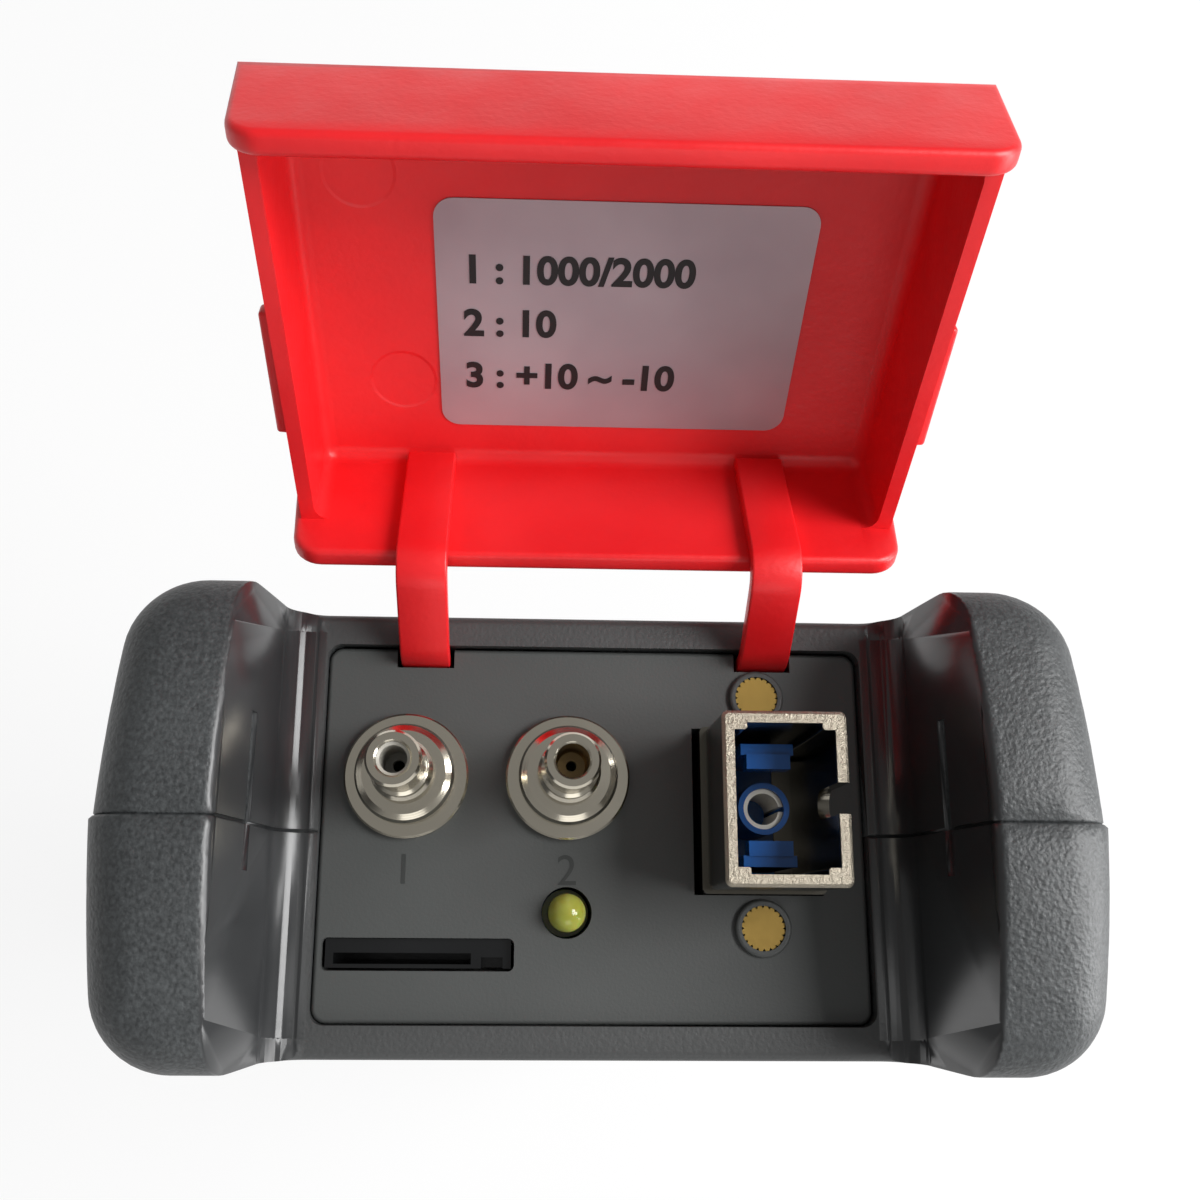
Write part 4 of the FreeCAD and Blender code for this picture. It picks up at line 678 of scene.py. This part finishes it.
# %% lamp and glass
def lamp_finish():
    material, tree, shader = start("tinted_epoxy")
    spot = add(tree, "TexCoord").outputs["Object"]
    cloud = add(tree, "TexNoise", {"Vector": spot, "Scale": 700.0, "Detail": 2.0})
    tone = add(tree, "ValToRGB", {"Fac": cloud.outputs["Fac"]})
    tone.color_ramp.elements[0].position, tone.color_ramp.elements[0].color = 0.3, colour("#a3a640")
    tone.color_ramp.elements[1].position, tone.color_ramp.elements[1].color = 0.7, colour("#b7bb55")
    tree.links.new(tone.outputs[0], shader.inputs["Base Color"])
    shader.inputs["Roughness"].default_value = 0.12
    shader.inputs["IOR"].default_value = 1.5
    shader.inputs["Transmission Weight"].default_value = 0.25
    shader.inputs["Subsurface Weight"].default_value = 0.3
    shader.inputs["Subsurface Scale"].default_value = 0.001
    return material


WINDOW_HALF_WIDE, WINDOW_HALF_TALL, WINDOW_MIDDLE = 0.0246, 0.0326, 0.095


def glass_finish():
    material, tree, shader = start("black_screen_glass")
    spot = add(tree, "TexCoord").outputs["Object"]
    smear = add(tree, "TexNoise", {"Vector": spot, "Scale": 70.0, "Detail": 4.0})
    gloss = add(tree, "MapRange", {"Value": smear.outputs["Fac"], "To Min": 0.03, "To Max": 0.12})
    split = add(tree, "SeparateXYZ", {0: spot})
    side = calculate(tree, "ABSOLUTE", split.outputs["X"])
    rise = calculate(tree, "ABSOLUTE", calculate(tree, "ADD", split.outputs["Z"], -WINDOW_MIDDLE))
    rim = calculate(tree, "MAXIMUM", calculate(tree, "GREATER_THAN", side, WINDOW_HALF_WIDE),
                    calculate(tree, "GREATER_THAN", rise, WINDOW_HALF_TALL))
    tone = add(tree, "Mix", {"Factor": rim, "A": colour("#15181b"), "B": colour("#050506")},
               data_type="RGBA")
    tree.links.new(tone.outputs["Result"], shader.inputs["Base Color"])
    tree.links.new(gloss.outputs[0], shader.inputs["Roughness"])
    shader.inputs["IOR"].default_value = 1.52
    return material


dress("status_lamp", lamp_finish())
dress("touch_glass", glass_finish())
print("lamp and screen dressed")

# %% [markdown]
# ## The label inside the cover
# A thin silver-grey sticker lies on the cover's inner face. A grid is scaled to its size, its corners are
# rounded by a vertex bevel and the sheet is laid in the cover. Only plain numbers are printed on it.

# %% label
def label_finish():
    material, tree, shader = start("silver_polyester_film")
    spot = add(tree, "TexCoord").outputs["Object"]
    cloud = add(tree, "TexNoise", {"Vector": spot, "Scale": 75.0, "Detail": 3.0})
    tone = add(tree, "ValToRGB", {"Fac": cloud.outputs["Fac"]})
    tone.color_ramp.elements[0].position, tone.color_ramp.elements[0].color = 0.3, colour("#a3949a")
    tone.color_ramp.elements[1].position, tone.color_ramp.elements[1].color = 0.75, colour("#b6a8ad")
    ripple = add(tree, "TexNoise", {"Vector": spot, "Scale": 160.0, "Detail": 2.0})
    bump = add(tree, "Bump", {"Height": ripple.outputs["Fac"], "Distance": 0.0002, "Strength": 0.25})
    tree.links.new(tone.outputs[0], shader.inputs["Base Color"])
    tree.links.new(bump.outputs[0], shader.inputs["Normal"])
    shader.inputs["Metallic"].default_value = 0.35
    shader.inputs["Roughness"].default_value = 0.42
    return material


LABEL_HALF = 14.3
LABEL_NEAR, LABEL_FAR = 5.35, 25.3
LABEL_DEEP = 12.2
LABEL_THICK, LABEL_CORNER, LABEL_SHIFT = 0.09, 1.5, 1.3


def label():
    """The sticker sheet, laid on the cover's inner face."""
    tool = bmesh.new()
    bmesh.ops.create_grid(tool, x_segments=1, y_segments=1, size=0.5)
    bmesh.ops.scale(tool, vec=(2 * LABEL_HALF, LABEL_FAR - LABEL_NEAR, 1.0), verts=tool.verts)
    bmesh.ops.bevel(tool, geom=tool.verts[:], offset=LABEL_CORNER, affect="VERTICES", segments=8,
                    profile=0.5, material=-1)
    made = bmesh.ops.extrude_face_region(tool, geom=tool.faces[:])["geom"]
    raised = [g for g in made if isinstance(g, bmesh.types.BMVert)]
    bmesh.ops.translate(tool, vec=(0, 0, LABEL_THICK), verts=raised)
    bmesh.ops.translate(tool, vec=(LABEL_SHIFT, -(LABEL_NEAR + LABEL_FAR) / 2, LABEL_DEEP), verts=tool.verts)
    bmesh.ops.transform(tool, matrix=COVER_PLACE @ Matrix.Scale(MM, 4), verts=tool.verts)
    return settle("cover_label", tool, label_finish(), "cover", smooth=False)


label()

# %% [markdown]
# ## Printed and moulded numbers
# The label's rows are printed in black. The two raised numbers on the port plate are a darker grey, which is
# painted shade for their relief. Text is made as a Text object, turned into a mesh and laid in place, so its
# place ends up in its vertices.

# %% numbers
def number(name, words, size, place, material, body, thick=0.02, weight=0.0, align="LEFT"):
    """Raised words as a mesh piece, laid in place; weight makes the strokes bolder."""
    data = bpy.data.curves.new(name, "FONT")
    data.body = words
    data.size = size
    data.extrude = thick
    data.offset = weight
    data.align_x = align
    holder = bpy.data.objects.new(name, data)
    bpy.context.scene.collection.objects.link(holder)
    bpy.context.view_layer.update()
    tool = bmesh.new()
    tool.from_mesh(bpy.data.meshes.new_from_object(holder))
    bpy.data.objects.remove(holder)
    bmesh.ops.transform(tool, matrix=place @ Matrix.Scale(MM, 4), verts=tool.verts)
    return settle(name, tool, material, body, smooth=False)


ink = moulded("printed_ink", "#08080a", "#0e0e10", 0.5)
# Painted shade: the plate numbers' darker grey stands in for the shading round their relief.
shade = moulded("plate_number_painted_shade", "#282a29", "#2e302f", 0.6)
FACE_UP = Matrix.Rotation(math.pi, 4, "Y") @ Matrix.Rotation(math.pi, 4, "Z")
ROW_START, INK_DEEP, ROW_SIZE = -11.0, 12.17, 3.2
PLATE_TOP, NUMBER_BACK, NUMBER_SIZE = 144.0, -4.3, 3.4
for row, (words, along) in enumerate((("1 : 1000/2000", 18.6), ("2 : 10", 14.0), ("3 : +10 ~ -10", 9.2))):
    lay = COVER_PLACE @ Matrix.Translation(Vector((ROW_START, -along, INK_DEEP)) * MM) @ FACE_UP
    number("label_row_%d" % (row + 1), words, ROW_SIZE, lay, ink, "cover", weight=0.1)
for words, across in (("1", PORT_ONE), ("2", PORT_TWO)):
    lay = Matrix.Translation(Vector((across, NUMBER_BACK, PLATE_TOP)) * MM)
    number("plate_number_" + words, words, NUMBER_SIZE, lay, shade, "case", thick=0.03,
           align="CENTER")

# %% [markdown]
# ## Floor and light
# A softbox high on the right rakes over the bumpers, a lower panel on the right lights the right bumper's
# side, and a weak one in front fills the open cover. The world is plain grey-white. The floor shows white to
# the camera and in reflections, and keeps part of the shadow.

# %% studio
FLOOR_GLOW = 0.85
LAMPS = (("right_softbox", 7.0, 0.4, (0.52, 0.05, 0.62), (0, 0, 0.15)),
         ("low_right_panel", 4.0, 0.4, (0.75, -0.15, 0.22), (0, 0, 0.15)),
         ("front_fill", 1.15, 0.5, (0.12, -0.8, 0.55), (0, 0.03, 0.16)))


def studio():
    """The floor, the world's light and three lamps."""
    tool = bmesh.new()
    bmesh.ops.create_grid(tool, x_segments=1, y_segments=1, size=6.0)
    data = bpy.data.meshes.new("floor")
    tool.to_mesh(data)
    tool.free()
    floor = bpy.data.objects.new("floor", data)
    bpy.context.scene.collection.objects.link(floor)
    material, tree, shader = start("white_floor")
    shader.inputs["Base Color"].default_value = (0.8, 0.8, 0.8, 1.0)
    shader.inputs["Roughness"].default_value = 0.9
    path = add(tree, "LightPath")
    glow = add(tree, "Emission", {"Color": (1.0, 1.0, 1.0, 1.0), "Strength": 1.0})
    seen = calculate(tree, "MAXIMUM", path.outputs["Is Camera Ray"], path.outputs["Is Glossy Ray"])
    share = calculate(tree, "MULTIPLY", seen, FLOOR_GLOW)
    both = add(tree, "MixShader", {0: share, 1: shader.outputs[0], 2: glow.outputs[0]})
    output = [n for n in tree.nodes if n.type == "OUTPUT_MATERIAL"][0]
    tree.links.new(both.outputs[0], output.inputs["Surface"])
    data.materials.append(material)

    world = bpy.data.worlds.new("studio")
    bpy.context.scene.world = world
    world.use_nodes = True
    tree = world.node_tree
    back = [n for n in tree.nodes if n.type == "BACKGROUND"][0]
    back.inputs["Color"].default_value = (1.0, 1.0, 1.0, 1.0)
    path = add(tree, "LightPath")
    level = add(tree, "MapRange", {"Value": path.outputs["Is Camera Ray"], "To Min": 0.30, "To Max": 1.0})
    tree.links.new(level.outputs[0], back.inputs["Strength"])

    for name, power, size, place, aim in LAMPS:
        lamp = bpy.data.lights.new(name, "AREA")
        lamp.energy = power
        lamp.size = size
        holder = bpy.data.objects.new(name, lamp)
        bpy.context.scene.collection.objects.link(holder)
        holder.location = place
        holder.rotation_euler = (Vector(aim) - Vector(place)).to_track_quat("-Z", "Y").to_euler()


studio()
print("studio ready")
